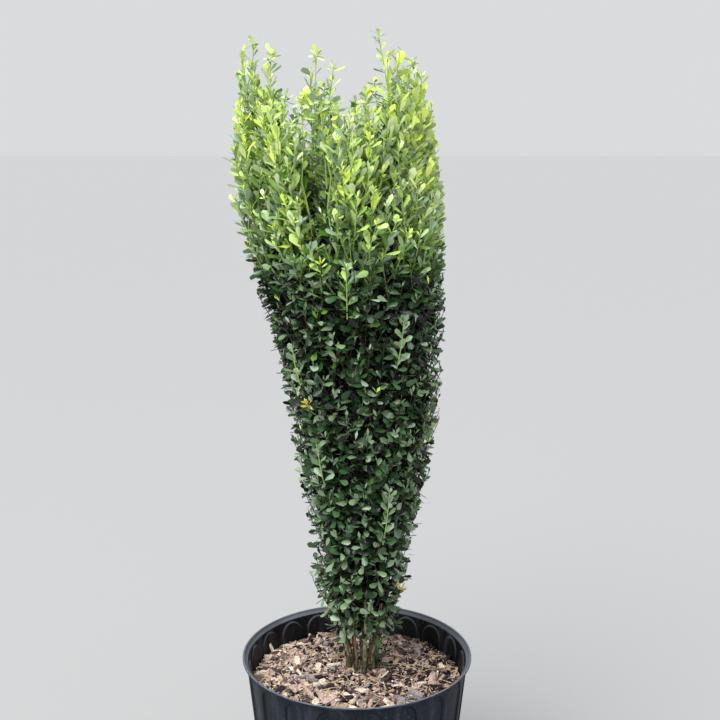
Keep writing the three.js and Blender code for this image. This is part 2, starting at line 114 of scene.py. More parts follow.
def meshFromBmesh(bm, smoothAngle=40):
    mesh = bpy.data.meshes.new("mesh")
    bm.to_mesh(mesh)
    bm.free()
    return shaded(mesh, smoothAngle)


def meshFromArrays(points, triangles, smoothAngle, looks=None):
    mesh = bpy.data.meshes.new("mesh")
    mesh.vertices.add(len(points))
    mesh.vertices.foreach_set("co", (points * mm).astype(np.float32).ravel())
    mesh.loops.add(triangles.size)
    mesh.loops.foreach_set("vertex_index", triangles.astype(np.int32).ravel())
    mesh.polygons.add(len(triangles))
    mesh.polygons.foreach_set("loop_start", np.arange(0, triangles.size, 3, dtype=np.int32))
    if looks is not None:
        mesh.polygons.foreach_set("material_index", looks.astype(np.int32))
    mesh.update(calc_edges=True)
    return shaded(mesh, smoothAngle)


def arraysOf(bm):  # corners, triangles and looks of a small shape, which is then placed many times
    bmesh.ops.triangulate(bm, faces=bm.faces[:])
    bm.verts.index_update()
    points = np.array([v.co[:] for v in bm.verts])
    triangles = np.array([[v.index for v in f.verts] for f in bm.faces])
    looks = np.array([f.material_index for f in bm.faces])
    bm.free()
    return points, triangles, looks


# All copies of a shape, given as (copies, corners, 3), as one set of corners and triangles
def joinCopies(triangles, placed):
    copies, corners = placed.shape[:2]
    steps = (np.arange(copies) * corners)[:, None, None]
    return placed.reshape(-1, 3), (triangles[None] + steps).reshape(-1, 3)


# Many small shapes, each given by its corners and triangles, as one
def joinParts(parts):
    starts = np.cumsum([0] + [len(points) for points, _ in parts[:-1]])
    points = np.concatenate([points for points, _ in parts])
    return points, np.concatenate([faces + start for (_, faces), start in zip(parts, starts)])


# A profile of radius and height, spun about the upright axis
def spunShape(profile, steps):
    bm = bmesh.new()
    corners = [bm.verts.new((radius, 0, z)) for radius, z in profile]
    edges = [bm.edges.new(pair) for pair in zip(corners, corners[1:])]
    bmesh.ops.spin(
        bm, geom=corners + edges, cent=(0, 0, 0), axis=(0, 0, 1), angle=2 * pi, steps=steps, use_merge=True
    )
    bmesh.ops.remove_doubles(bm, verts=bm.verts[:], dist=1e-4)
    return bm


def inMetres(bm):
    bmesh.ops.scale(bm, verts=bm.verts[:], vec=(mm, mm, mm))
    bmesh.ops.recalc_face_normals(bm, faces=bm.faces[:])
    return bm


def appliedMesh(blank):  # its mesh with the modifiers applied, in place of the blank
    depsgraph = bpy.context.evaluated_depsgraph_get()
    mesh = bpy.data.meshes.new_from_object(blank.evaluated_get(depsgraph))
    bpy.data.objects.remove(blank)
    return mesh


# Materials. Colours are a screen's 0 to 255.

def shaderColour(colour):
    def channel(value):
        value /= 255
        return value / 12.92 if value <= 0.04045 else ((value + 0.055) / 1.055) ** 2.4

    return (*(channel(value) for value in colour), 1)


def feed(look, socket, value):  # a plain value or another node's output
    if isinstance(value, bpy.types.NodeSocket):
        look.node_tree.links.new(value, socket)
    else:
        socket.default_value = value


def feedShader(look, name, value):
    feed(look, look.node_tree.nodes["Principled BSDF"].inputs[name], value)


def newMaterial(name, roughness, specular, colour=None):
    look = bpy.data.materials.new(name)
    look.use_nodes = True
    if colour:
        feedShader(look, "Base Color", shaderColour(colour))
    feedShader(look, "Roughness", roughness)
    feedShader(look, "Specular IOR Level", specular)
    return look


def addNode(look, kind, settings=None, **inputs):
    node = look.node_tree.nodes.new("ShaderNode" + kind)
    for key, value in (settings or {}).items():
        setattr(node, key, value)
    for key, value in inputs.items():
        feed(look, node.inputs[key.replace("_", " ")], value)
    return node


def objectNoise(look, scale, detail, stretch=(1, 1, 1)):
    place = addNode(look, "TexCoord").outputs["Object"]
    place = addNode(look, "Mapping", Vector=place, Scale=stretch).outputs["Vector"]
    return addNode(look, "TexNoise", Vector=place, Scale=scale, Detail=detail).outputs["Fac"]


def colourRamp(look, source, stops):
    ramp = addNode(look, "ValToRGB", Fac=source)
    elements = ramp.color_ramp.elements
    while len(elements) < len(stops):
        elements.new(0.5)
    for element, (place, colour) in zip(elements, stops):
        element.position = place
        element.color = shaderColour(colour)
    return ramp.outputs["Color"]


def mapRange(look, source, fromLow, fromHigh, low=0.0, high=1.0):
    node = addNode(look, "MapRange", Value=source, From_Min=fromLow, From_Max=fromHigh)
    feed(look, node.inputs["To Min"], low)
    feed(look, node.inputs["To Max"], high)
    return node.outputs["Result"]


def mixOver(look, share, under, over):
    node = addNode(look, "Mix", {"data_type": "RGBA"}, Factor=share)
    feed(look, node.inputs[6], under)
    feed(look, node.inputs[7], shaderColour(over))
    return node.outputs[2]


def mathNode(look, operation, first, second=0.0):
    node = addNode(look, "Math", {"operation": operation})
    feed(look, node.inputs[0], first)
    feed(look, node.inputs[1], second)
    return node.outputs[0]


def multiply(look, first, second):
    return mathNode(look, "MULTIPLY", first, second)


def addBump(look, height, strength, distance):
    bump = addNode(look, "Bump", Height=height, Strength=strength, Distance=distance)
    feedShader(look, "Normal", bump.outputs["Normal"])


# A rough surface with a grain of colours, and a relief by the same grain
def grainMaterial(name, roughness, specular, scale, detail, stops, relief=None):
    look = newMaterial(name, roughness, specular)
    grain = objectNoise(look, scale, detail)
    feedShader(look, "Base Color", colourRamp(look, grain, stops))
    if relief:
        addBump(look, grain, *relief)
    return look


# Camera, light and floor

view = {"place": (0.0037, -1.256, 0.856), "pitch": 11.3, "lens": 55.0, "clip": (0.05, 100)}
studio = dict(
    world=(0.93, 0.95, 0.97, 1), worldStrength=0.75, floor=(178, 178, 178), floorSize=120.0,
    skyTurn=(26, -22, 0), skyStrength=2.9, skySpread=50,
    keyPlace=(-1.7, -2.3, 2.3), keySize=1.5, keyPower=16, keyAim=(0, 0, 0.55),
)


def addCamera():
    camera = addObject("camera", bpy.data.cameras.new("camera"))
    camera.location = view["place"]
    camera.rotation_euler = (radians(90 - view["pitch"]), 0, 0)
    camera.data.lens = view["lens"]
    camera.data.clip_start, camera.data.clip_end = view["clip"]
    scene.camera = camera


def addLights():
    scene.view_settings.view_transform = "Standard"
    scene.world = bpy.data.worlds.new("pale_studio")
    scene.world.use_nodes = True
    background = scene.world.node_tree.nodes["Background"]
    background.inputs["Color"].default_value = studio["world"]
    background.inputs["Strength"].default_value = studio["worldStrength"]
    sky = addObject("sky_light", bpy.data.lights.new("sky_light", "SUN"))
    sky.data.energy = studio["skyStrength"]
    sky.data.angle = radians(studio["skySpread"])
    sky.rotation_euler = [radians(turn) for turn in studio["skyTurn"]]
    key = addObject("key_light", bpy.data.lights.new("key_light", "AREA"))
    key.data.size = studio["keySize"]
    key.data.energy = studio["keyPower"]
    key.location = studio["keyPlace"]
    aim = Vector(studio["keyAim"]) - Vector(studio["keyPlace"])
    key.rotation_euler = aim.to_track_quat("-Z", "Y").to_euler()


def addFloor():
    bm = bmesh.new()
    bmesh.ops.create_grid(bm, x_segments=1, y_segments=1, size=studio["floorSize"] / 2)
    floor = addObject("floor", meshFromBmesh(bm))
    floor.data.materials.append(newMaterial("pale_floor", 0.9, 0.2, studio["floor"]))
    floor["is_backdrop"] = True


addCamera()
addLights()
addFloor()
print("camera, light and floor")


# The pot

pot = dict(
    height=240, lipRadius=139.9, lipWall=2.4, lipLow=236, lipRound=1.1, lipLowRound=1.2,
    lipStep=237.2,  # where the lip's inner side steps in to the wall
    topRadius=136, footRadius=112, undersideRadius=105, footHeight=12, wall=2.6, floor=3,
    columns=22,  # to a flute
    rowsBelow=2.2,  # spacing of rows near the foot
    rowsAlong=19,
    rowsArch=1.5,  # spacing of rows at the round tops
)
flute = dict(
    count=20, half=16, depth=2.2, top=232.4, foot=20, phase=radians(-84.5),
    edge=1.9,  # width of the step at a flute's side
    line=1.0,  # width of the painted shade and highlight line along it
)
plastic = dict(
    dust=(128, 130, 138), scuffs=(92, 96, 106), scuffShare=0.3, wornLip=(112, 116, 124),
    wornBetween=(0.2388, 0.2395),  # heights in metres
    lineFade=0.014,  # fade of the painted shade and highlight line towards its foot, in metres
)
drain = {"count": 6, "radius": 7, "height": 3, "reach": 24, "sides": 20}
outerPlastic, innerPlastic, wornPlastic = range(3)


def wallRadius(z):
    share = (z - pot["footHeight"]) / (pot["height"] - pot["footHeight"])
    return lerp(pot["footRadius"], pot["topRadius"], share)


def wallRows(low, high):
    rows = []
    z = low
    archLow = flute["top"] - flute["half"] - 4
    while z < high - 1e-6:
        rows.append(z)
        if z < flute["foot"] + 5:
            z += pot["rowsBelow"]
        elif z < archLow:
            z = min(z + pot["rowsAlong"], archLow)
        else:
            z += pot["rowsArch"]
    return rows + [high]


def arc(x, z, radius, start, end, steps):
    turns = [radians(lerp(start, end, i / steps)) for i in range(steps + 1)]
    return [(x + radius * cos(turn), z + radius * sin(turn)) for turn in turns]


def potProfile():
    lip, low, step, above = (pot[key] for key in ("lipRadius", "lipLow", "lipStep", "lipRound"))
    underside = pot["undersideRadius"] - 1
    footHeight = pot["footHeight"]
    inside = wallRadius(low) - pot["wall"]
    lipInside = lip - pot["lipWall"]
    top = pot["height"] - above
    return [
        (0, 0), (underside, 0), *arc(underside, 1, 1, -80, 0, 3), (underside + 2.2, 4),
        *arc(pot["footRadius"] - 2, 8, 2, -60, 10, 4),
        *((wallRadius(z), z) for z in wallRows(footHeight, low)),
        *arc(lip - pot["lipLowRound"], low + 2, pot["lipLowRound"], -70, 0, 4),
        *arc(lip - above, top, above, 0, 90, 4), *arc(lipInside + above, top, above, 95, 180, 4),
        (lipInside, step + 0.8), (lipInside - 0.5, step - 0.2),
        (inside + 0.6, step - 2.2), (inside, step - 3),
        *((wallRadius(z) - pot["wall"], z) for z in reversed(wallRows(footHeight, step - 3.6))),
        (underside, pot["floor"]), (0, pot["floor"]),
    ]


# How far a place of the wall is inside a flute, or outside as less than 0
def insideFlute(turn, z):
    pitch = 2 * pi / flute["count"]
    side = ((turn - flute["phase"] + pitch / 2) % pitch - pitch / 2) * wallRadius(z)
    middle = flute["top"] - flute["half"]
    return min(flute["half"] - hypot(side, max(0, z - middle)), z - flute["foot"])


def fluteWall(bm):
    for v in bm.verts:
        z = v.co.z
        radius = hypot(v.co.x, v.co.y)
        if pot["footHeight"] < z < pot["lipLow"] and radius > wallRadius(z) - pot["wall"] - 0.5:
            share = smoothstep(insideFlute(atan2(v.co.y, v.co.x), z), -flute["edge"] / 2, flute["edge"] / 2)
            moved = (radius - flute["depth"] * share) / radius
            v.co.x *= moved
            v.co.y *= moved


def drainCutter():
    bm = bmesh.new()
    radius = drain["radius"]
    for i in range(drain["count"]):
        verts = bmesh.ops.create_cone(
            bm, cap_ends=True, segments=drain["sides"], radius1=radius, radius2=radius, depth=drain["reach"]
        )["verts"]
        turn = flute["phase"] + (i + 0.5) * 2 * pi / drain["count"]
        out = Vector((cos(turn), sin(turn), 0))
        upright = Vector((0, 0, 1)).rotation_difference(out).to_matrix()
        bmesh.ops.rotate(bm, verts=verts, cent=(0, 0, 0), matrix=upright)
        bmesh.ops.translate(bm, verts=verts, vec=out * pot["footRadius"] + Vector((0, 0, drain["height"])))
    return addObject("drain_cutter", meshFromBmesh(inMetres(bm)))


# Dull black plastic with dust and scuffs. Its lip is worn pale, and a line is painted along the flutes'
# edges: painted shadow outside, painted highlight inside.
def plasticMaterial(name, darkest, palest, line, lineShare, dustShare=0.3, lineFoot=0.0):
    look = newMaterial(name, 0.5, 0.18)
    clouds = objectNoise(look, 9, 6, (1, 1, 0.5))
    specks = objectNoise(look, 420, 3)
    streaks = objectNoise(look, 60, 5, (1, 1, 0.12))
    place = addNode(look, "TexCoord").outputs["Object"]
    height = addNode(look, "SeparateXYZ", Vector=place).outputs["Z"]
    near = addNode(look, "Attribute", {"attribute_name": "inFlute"}).outputs["Fac"]
    dust = multiply(look, mapRange(look, specks, 0.55, 0.8), mapRange(look, clouds, 0.35, 0.7))
    lip = mapRange(look, height, *plastic["wornBetween"])
    # painted shade and highlight along the flutes' edges, patchy and fading towards its foot
    edge = mapRange(look, mathNode(look, "ABSOLUTE", near), flute["line"], 0.2, 0.0, lineShare)
    patchyShadeAndHighlight = multiply(look, edge, mapRange(look, clouds, 0.3, 0.6, 0.35, 1.0))
    fading = mapRange(look, height, lineFoot, lineFoot + plastic["lineFade"], 0.15, 1.0)
    colour = colourRamp(look, clouds, [(0.3, darkest), (0.75, palest)])
    for share, over in (
        (multiply(look, dust, dustShare), plastic["dust"]),
        (mapRange(look, streaks, 0.5, 0.75, 0.0, plastic["scuffShare"]), plastic["scuffs"]),
        (multiply(look, lip, mapRange(look, specks, 0.3, 0.6, 0.35, 1.0)), plastic["wornLip"]),
        (multiply(look, patchyShadeAndHighlight, fading), line),
    ):
        colour = mixOver(look, share, colour, over)
    feedShader(look, "Base Color", colour)
    feedShader(look, "Roughness", mapRange(look, clouds, 0.3, 0.7, 0.45, 0.65))
    addBump(look, specks, 0.12, 0.0006)
    return look


def dealPotLooks(mesh):
    looks = np.full(len(mesh.polygons), outerPlastic, np.int32)
    for i, face in enumerate(mesh.polygons):
        x, y, z = np.array(face.center) / mm
        if face.normal.x * x + face.normal.y * y < 0:
            onLip = z > pot["lipStep"] - 1.6 and hypot(x, y) > pot["topRadius"] - 3
            looks[i] = wornPlastic if onLip else innerPlastic
    mesh.polygons.foreach_set("material_index", looks)
    inside = []
    for v in mesh.vertices:
        x, y, z = np.array(v.co) / mm
        inside.append(clamp(insideFlute(atan2(y, x), z), -6, 6) if z < pot["lipLow"] else -6)
    mesh.attributes.new("inFlute", "FLOAT", "POINT").data.foreach_set("value", inside)


def makePot():
    bm = spunShape(potProfile(), pot["columns"] * flute["count"])
    fluteWall(bm)
    blank = addObject("pot_blank", meshFromBmesh(inMetres(bm)))
    cutter = drainCutter()
    cut = blank.modifiers.new("drains", "BOOLEAN")
    cut.object = cutter
    cut.solver = "EXACT"
    mesh = shaded(appliedMesh(blank), 35)
    bpy.data.objects.remove(cutter)
    mesh.materials.clear()
    # the flutes' edge line is painted shadow on the outer plastic and the worn lip, and painted highlight on
    # the inner plastic
    addPiece("nursery_pot", mesh, ["pot"], [
        plasticMaterial("nursery_plastic", (12, 17, 26), (25, 33, 46), (2, 2, 3), 1.0),
        plasticMaterial("inner_plastic", (7, 8, 10), (20, 22, 26), (112, 116, 120), 0.6, 0.4, 0.213),
        plasticMaterial("worn_plastic", (78, 82, 90), (122, 127, 136), (70, 72, 78), 0.1, 0.5),
    ])
    dealPotLooks(mesh)


makePot()
print("pot")


# The soil and its bark mulch

foot = {"x": 8, "y": 4}
soil = dict(
    edge=205, edgeRadius=129.2, top=217, levelRadius=32, moundCurve=0.8, floor=3.3, rings=44,
    columns=120, lump=1.8, lumpLength=30, grain=1.3,
)
mulch = dict(
    seed=71, chips=1000, lengths=(5.5, 20.0), flakes=4400, flakeLengths=(2.2, 7.0),
    widthShares=(0.26, 0.6), thickShares=(0.1, 0.24), leastThick=0.7, clearOfStems=17, clearLength=5,
    leaning={"place": (-110, 62, 213), "sizes": (14, 4.5, 1.4), "turn": -30, "tilt": 66},
)
fibre = dict(
    count=150, lengths=(10, 42), curls=(-2.2, 2.2), rises=(0.6, 4.2), lift=2.2, radii=(0.28, 0.6),
    steps=7, sides=4,
)
grains = {"count": 190, "sizes": (0.6, 1.5), "lift": 2.4}
mulchColours = [  # name, darker and paler colour, share of the bark, from the palest
    ("cream_bark", (196, 176, 150), (244, 230, 210), 0.13),
    ("pink_bark", (154, 128, 118), (206, 182, 170), 0.25),
    ("tan_bark", (150, 124, 100), (204, 178, 150), 0.12),
    ("grey_bark", (112, 106, 104), (158, 150, 148), 0.09),
    ("brown_bark", (90, 70, 62), (136, 112, 102), 0.2),
    ("umber_bark", (56, 42, 38), (92, 72, 66), 0.12),
    ("dark_bark", (26, 20, 20), (52, 42, 42), 0.09),
]


def soilHeight(x, y):
    share = clamp((soil["edgeRadius"] - hypot(x, y)) / (soil["edgeRadius"] - soil["levelRadius"]))
    turn = 2 * pi / soil["lumpLength"]
    lump = soil["lump"] * sin(turn * x) * cos(turn * y) * min(1, 2 * share)
    return soil["edge"] + (soil["top"] - soil["edge"]) * share ** soil["moundCurve"] + lump


def makeSoil():
    floor, edge, edgeRadius, rings = (soil[key] for key in ("floor", "edge", "edgeRadius", "rings"))
    profile = [(0, floor), (pot["undersideRadius"] - 2, floor)]
    profile += [(pot["footRadius"] - pot["wall"] - 0.6, pot["footHeight"]), (edgeRadius, edge)]
    profile += [(edgeRadius * (1 - i / rings), soil["top"]) for i in range(1, rings + 1)]
    bm = spunShape(profile, soil["columns"])
    for v in bm.verts:
        if v.co.z > edge + 1:
            grain = noise.noise(v.co * 0.11) + 0.6 * noise.noise(v.co * 0.4)
            v.co.z = soilHeight(v.co.x, v.co.y) + soil["grain"] * grain - 1
    stops = [(0.3, (20, 16, 15)), (0.55, (50, 39, 36)), (0.75, (96, 80, 74))]
    look = grainMaterial("potting_soil", 0.95, 0.2, 260, 6, stops, (0.6, 0.002))
    addPiece("potting_soil", meshFromBmesh(inMetres(bm), 60), ["soil"], [look])


def addLitter(name, parts, smoothAngle, lookName, darker, paler):
    look = grainMaterial(lookName, 0.85, 0.25, 330, 4, [(0.36, darker), (0.62, paler)])
    addPiece(name, meshFromArrays(*joinParts(parts), smoothAngle), ["soil"], [look])


# A rough slab, 1 long, 1 wide and 1 thick, or a plainer flake
def slabShape(seed, cuts, taper, noiseScale, shifts):
    bm = bmesh.new()
    bmesh.ops.create_cube(bm, size=1)
    if cuts:
        bmesh.ops.subdivide_edges(bm, edges=bm.edges[:], cuts=cuts, use_grid_fill=True)
    for v in bm.verts:
        v.co.y *= 1 - taper * abs(v.co.x)
        shift = noise.noise_vector(v.co * noiseScale + Vector((seed, 0, 0)))
        v.co += Vector(shifts) * shift
    return arraysOf(bm)


# Three directions of a slab that is turned on the level and then tilted
def tiltedFrame(turn, tilt, tiltTurn):
    normal = cos(tilt) * up + sin(tilt) * levelHeading(tiltTurn)
    along = unit(levelHeading(turn) - normal * np.dot(levelHeading(turn), normal))
    return np.array([along, np.cross(normal, along), normal])


def mulchPlace(draw, margin):
    radius = (soil["edgeRadius"] - margin) * sqrt(draw())
    turn = 2 * pi * draw()
    return radius * cos(turn), radius * sin(turn)


# The bark is paler and coarser at the front left, darker and finer at the back right and by the stems. The
# darkening by the stems is painted shade, and the darkening towards the back right is partly painted shade of
# the plant and pot.
def frontShare(x, y):
    # painted shade about the stems' foot
    shadeNearStems = exp(-((x - foot["x"]) ** 2 + (y - foot["y"]) ** 2) / 1600)
    return clamp(0.45 - (0.8 * x + 0.6 * y) / 150 - 0.3 * shadeNearStems)


def barkAt(x, y, draw):
    pick = draw() ** lerp(0.6, 1.7, frontShare(x, y))
    for name, _, _, share in mulchColours:
        pick -= share
        if pick < 0:
            break
    return name


def layChip(dealt, shape, lengths, draw):
    x, y = mulchPlace(draw, 2)
    length = lerp(*lengths, draw() ** lerp(4.5, 1.2, frontShare(x, y)))
    if hypot(x - foot["x"], y - foot["y"]) < mulch["clearOfStems"]:
        length = min(length, mulch["clearLength"])
    inwards = min(1, (soil["edgeRadius"] - length / 2) / hypot(x, y))
    x, y = x * inwards, y * inwards
    width = length * lerp(*mulch["widthShares"], draw())
    thick = max(mulch["leastThick"], length * lerp(*mulch["thickShares"], draw()))
    tilt = radians(5 + 45 * draw() ** 2)
    axes = tiltedFrame(2 * pi * draw(), tilt, 2 * pi * draw())
    place = np.array([x, y, soilHeight(x, y) + thick * 0.3 + 1.6 * draw()])
    points, triangles, _ = shape
    dealt[barkAt(x, y, draw)].append((place + (points * (length, width, thick)) @ axes, triangles))


def makeMulch():
    draw = seeded(mulch["seed"])
    chips = [slabShape(seed * 7.1, 1, 0.7, 2.3, (0.12, 0.16, 0.22)) for seed in range(5)]
    flakes = [slabShape(seed * 5.3, 0, 0, 1.7, (0.3, 0.3, 0.25)) for seed in range(6)]
    dealt = {name: [] for name, _, _, _ in mulchColours}
    for i in range(mulch["flakes"]):
        layChip(dealt, flakes[i % len(flakes)], mulch["flakeLengths"], draw)
    for i in range(mulch["chips"]):
        layChip(dealt, chips[i % len(chips)], mulch["lengths"], draw)
    leaning = mulch["leaning"]
    turn = radians(leaning["turn"])
    axes = tiltedFrame(turn, radians(leaning["tilt"]), turn)
    points, triangles, _ = chips[1]
    dealt["cream_bark"].append((leaning["place"] + (points * leaning["sizes"]) @ axes, triangles))
    for name, darker, paler, _ in mulchColours:
        addLitter("mulch_" + name, dealt[name], 30, name, darker, paler)


# A round bar of even steps, whose rings are then laid along a path
def barShape(sides, steps):
    bm = bmesh.new()
    bmesh.ops.create_cone(bm, cap_ends=True, segments=sides, radius1=1, radius2=1, depth=steps)
    for i in range(1, steps):
        everything = bm.verts[:] + bm.edges[:] + bm.faces[:]
        bmesh.ops.bisect_plane(bm, geom=everything, plane_co=(0, 0, i - steps / 2), plane_no=(0, 0, 1))
    bmesh.ops.translate(bm, verts=bm.verts[:], vec=(0, 0, steps / 2))
    return arraysOf(bm)


barShapes = {}


# Bars along many paths of as many points each, as corners and triangles
def bentBars(paths, radii, sides):
    steps = paths.shape[1] - 1
    if (sides, steps) not in barShapes:
        barShapes[sides, steps] = barShape(sides, steps)
    points, triangles, _ = barShapes[sides, steps]
    ring = np.rint(points[:, 2]).astype(int)
    turn = np.arctan2(points[:, 1], points[:, 0])
    headings = unit(np.gradient(paths, axis=1))
    level = np.abs(headings[:, :, 2]).mean(axis=1) < 0.45
    across = np.where(level[:, None], up, np.array([0.0, 1.0, 0.0]))[:, None]
    side = unit(np.cross(across, headings))
    other = np.cross(headings, side)
    around = radii[:, ring, None]
    placed = paths[:, ring] + around * (np.cos(turn)[None, :, None] * side[:, ring])
    return joinCopies(triangles, placed + around * (np.sin(turn)[None, :, None] * other[:, ring]))


def makeFibres():
    draw = seeded(mulch["seed"] + 1)
    paths = []
    radii = []
    steps = fibre["steps"]
    for _ in range(fibre["count"]):
        place = np.array(mulchPlace(draw, 12))
        turn = 2 * pi * draw()
        length = lerp(*fibre["lengths"], draw() ** 1.6)
        curl = lerp(*fibre["curls"], draw())
        rise = lerp(*fibre["rises"], draw() ** 2)
        path = []
        for i in range(steps + 1):
            away = hypot(*place)
            if away > soil["edgeRadius"] - 3:
                place = place * (soil["edgeRadius"] - 3) / away
            path.append([*place, soilHeight(*place) + (rise * sin(pi * i / steps) + fibre["lift"])])
            place = place + levelHeading(turn + curl * i / steps)[:2] * length / steps
        paths.append(path)
        radii.append([lerp(*fibre["radii"], draw() ** 2)] * (steps + 1))
    bars = [bentBars(np.array(paths), np.array(radii), fibre["sides"])]
    addLitter("straw_fibres", bars, 60, "straw", (170, 146, 118), (226, 206, 178))


def makeGrains():
    draw = seeded(mulch["seed"] + 2)
    bm = bmesh.new()
    bmesh.ops.create_icosphere(bm, subdivisions=1, radius=1)
    points, triangles, _ = arraysOf(bm)
    parts = []
    for _ in range(grains["count"]):
        x, y = mulchPlace(draw, 5)
        size = lerp(*grains["sizes"], draw() ** 2)
        parts.append((np.array([x, y, soilHeight(x, y) + grains["lift"]]) + points * size, triangles))
    addLitter("perlite_grains", parts, 60, "perlite", (222, 218, 210), (252, 250, 246))


makeSoil()
makeMulch()
makeFibres()
makeGrains()
print("soil and mulch")


# The crown's outline, its sectors and the stems

crown = dict(
    low=250, wide=790, lowRadius=33, wideRadius=123, roundOver=261, swell=0.75, leanFrom=500,
    leanTo=900, lean=-37,
)
sectors = [  # name, height of the tallest shoot, girth and bow of the stem
    ("right", 953, 0.95, 1),
    ("back_right", 930, 1, 0),
    ("back", 925, 0.85, 2),
    ("back_left", 915, 1, 0),
    ("left", 972, 1.5, 8),
    ("front_left", 950, 0.9, 0),
    ("front", 955, 1.1, 0),
    ("front_right", 977, 1, 0),
]
sectorStart = radians(7)
sectorTurn = 2 * pi / len(sectors)
sectorWave = {"size": radians(4), "step": 2.4, "start": 1}
stem = dict(
    low=239.6, end=338, ring=14, endShare=0.58, bend=0.9, bowStart=0.12, sway=1.6, baseRadius=2.15,
    endRadius=1.55, sides=16, steps=60, relief=0.3, buried=14, past=3,
)


def crownRadius(z):
    share = clamp((z - crown["low"]) / (crown["wide"] - crown["low"]))
    widening = lerp(crown["lowRadius"], crown["wideRadius"], share ** crown["swell"])
    above = clamp((z - crown["wide"]) / crown["roundOver"])
    return widening * sqrt(1 - above * above)


def crownCentre(z):
    x = foot["x"] + crown["lean"] * smoothstep(z, crown["leanFrom"], crown["leanTo"])
    return np.array([x, foot["y"], z])


def sectorEdge(index):
    wave = sectorWave["size"] * sin(sectorWave["step"] * (index % len(sectors)) + sectorWave["start"])
    return sectorStart + (index - 0.5) * sectorTurn + wave


def sectorMass(index, name, top, girth, bow):
    first, last = sectorEdge(index), sectorEdge(index + 1)
    turn, half = (first + last) / 2, (last - first) / 2
    return dict(name=name, index=index, top=top, girth=girth, bow=bow, turn=turn, half=half)


masses = [sectorMass(index, *row) for index, row in enumerate(sectors)]
masses.append(dict(name="centre", index=len(sectors), top=915, girth=0.9, bow=0, turn=0, half=pi))


def stemPlace(mass, z):
    share = clamp((z - stem["low"]) / (stem["end"] - stem["low"]))
    place = crownCentre(z)
    if mass["name"] != "centre":
        out = lerp(stem["ring"], stem["endShare"] * crownRadius(stem["end"]), share ** stem["bend"])
        out += mass["bow"] * sin(pi * lerp(stem["bowStart"], 1, share))
        place = place + levelHeading(mass["turn"]) * out
    turn = mass["index"] * goldenTurn
    sway = stem["sway"] * sin(pi * share) * sin(2 * pi * share + turn)
    return place + levelHeading(turn) * sway


def stemRadius(mass, share):
    return mass["girth"] * lerp(stem["baseRadius"], stem["endRadius"], share)


def barkMaterial(name, dark, pale, moss, mossShare):
    look = newMaterial(name, 0.85, 0.25)
    furrows = objectNoise(look, 500, 5, (1, 1, 0.22))
    patches = objectNoise(look, 70, 4)
    wood = colourRamp(look, furrows, [(0.32, dark), (0.68, pale)])
    mossy = mapRange(look, patches, 0.5, 0.68, 0.0, mossShare)
    feedShader(look, "Base Color", mixOver(look, mossy, wood, moss))
    addBump(look, furrows, 0.5, 0.0008)
    return look


# Moves corners by the furrows and knots of the bark
def addBarkRelief(points, strength, seed):
    for i, (x, y, z) in enumerate(points):
        furrow = noise.noise((x * 0.9 + seed, y * 0.9, z * 0.16))
        knot = noise.noise((x * 0.3, y * 0.3 + seed, z * 0.12))
        shift = noise.noise_vector((x * 0.5, y * 0.5, z * 0.3 + seed))
        points[i, 0] += strength * (0.5 * shift.x + furrow)
        points[i, 1] += strength * (0.5 * shift.y + knot)


def makeStems(barks):
    heights = np.linspace(stem["low"] - stem["buried"], stem["end"] + stem["past"], stem["steps"] + 1)
    shares = np.clip((heights - stem["low"]) / (stem["end"] - stem["low"]), 0, 1)
    for mass in masses:
        path = np.array([[stemPlace(mass, z) for z in heights]])
        radii = np.array([[stemRadius(mass, share) for share in shares]])
        points, triangles = bentBars(path, radii, stem["sides"])
        addBarkRelief(points, stem["relief"], mass["index"] * 3.7)
        bark = barks[mass["index"] % len(barks)]
        mesh = meshFromArrays(points, triangles, 70)
        addPiece("bark_stem_" + mass["name"], mesh, ["stem_" + mass["name"]], [bark])


trunk = dict(
    top=243, low=205, steps=16, sides=14,
    spread=1.5,  # a stem's foot, against its radius above
    stray=4, domeRadius=14, domeDepth=0.9, domeTop=224, voxel=0.9, easings=4, relief=0.5,
)


# The stems' feet, grown together at the soil
def makeTrunk(bark):
    feet = []
    for mass in masses:
        path = []
        radii = []
        for i in range(trunk["steps"] + 1):
            share = i / trunk["steps"]
            out = trunk["stray"] * (1 - share) ** 2 * (mass["name"] != "centre")
            place = stemPlace(mass, lerp(trunk["low"], trunk["top"], share))
            path.append(place + levelHeading(mass["turn"]) * out)
            radii.append(stemRadius(mass, 0) * lerp(trunk["spread"], 1, share ** 0.6))
        feet.append(bentBars(np.array([path]), np.array([radii]), trunk["sides"]))
    bm = bmesh.new()
    bmesh.ops.create_uvsphere(bm, u_segments=24, v_segments=12, radius=trunk["domeRadius"])
    rise = (trunk["domeTop"] - trunk["low"]) / trunk["domeRadius"]
    bmesh.ops.scale(bm, verts=bm.verts[:], vec=(1, trunk["domeDepth"], rise))
    bmesh.ops.translate(bm, verts=bm.verts[:], vec=(foot["x"], foot["y"], trunk["low"]))
    feet.append(arraysOf(bm)[:2])
    blank = addObject("trunk_blank", meshFromArrays(*joinParts(feet), 40))
    grown = blank.modifiers.new("grown", "REMESH")
    grown.mode = "VOXEL"
    grown.voxel_size = trunk["voxel"] * mm
    eased = blank.modifiers.new("eased", "SMOOTH")
    eased.factor = 0.5
    eased.iterations = trunk["easings"]
    mesh = appliedMesh(blank)
    places = np.empty(len(mesh.vertices) * 3, np.float32)
    mesh.vertices.foreach_get("co", places)
    places = places.reshape(-1, 3) / mm
    addBarkRelief(places, trunk["relief"], 1.3)
    mesh.vertices.foreach_set("co", (places * mm).astype(np.float32).ravel())
    mesh.shade_smooth()
    addPiece("bark_trunk", mesh, ["trunk"], [bark])


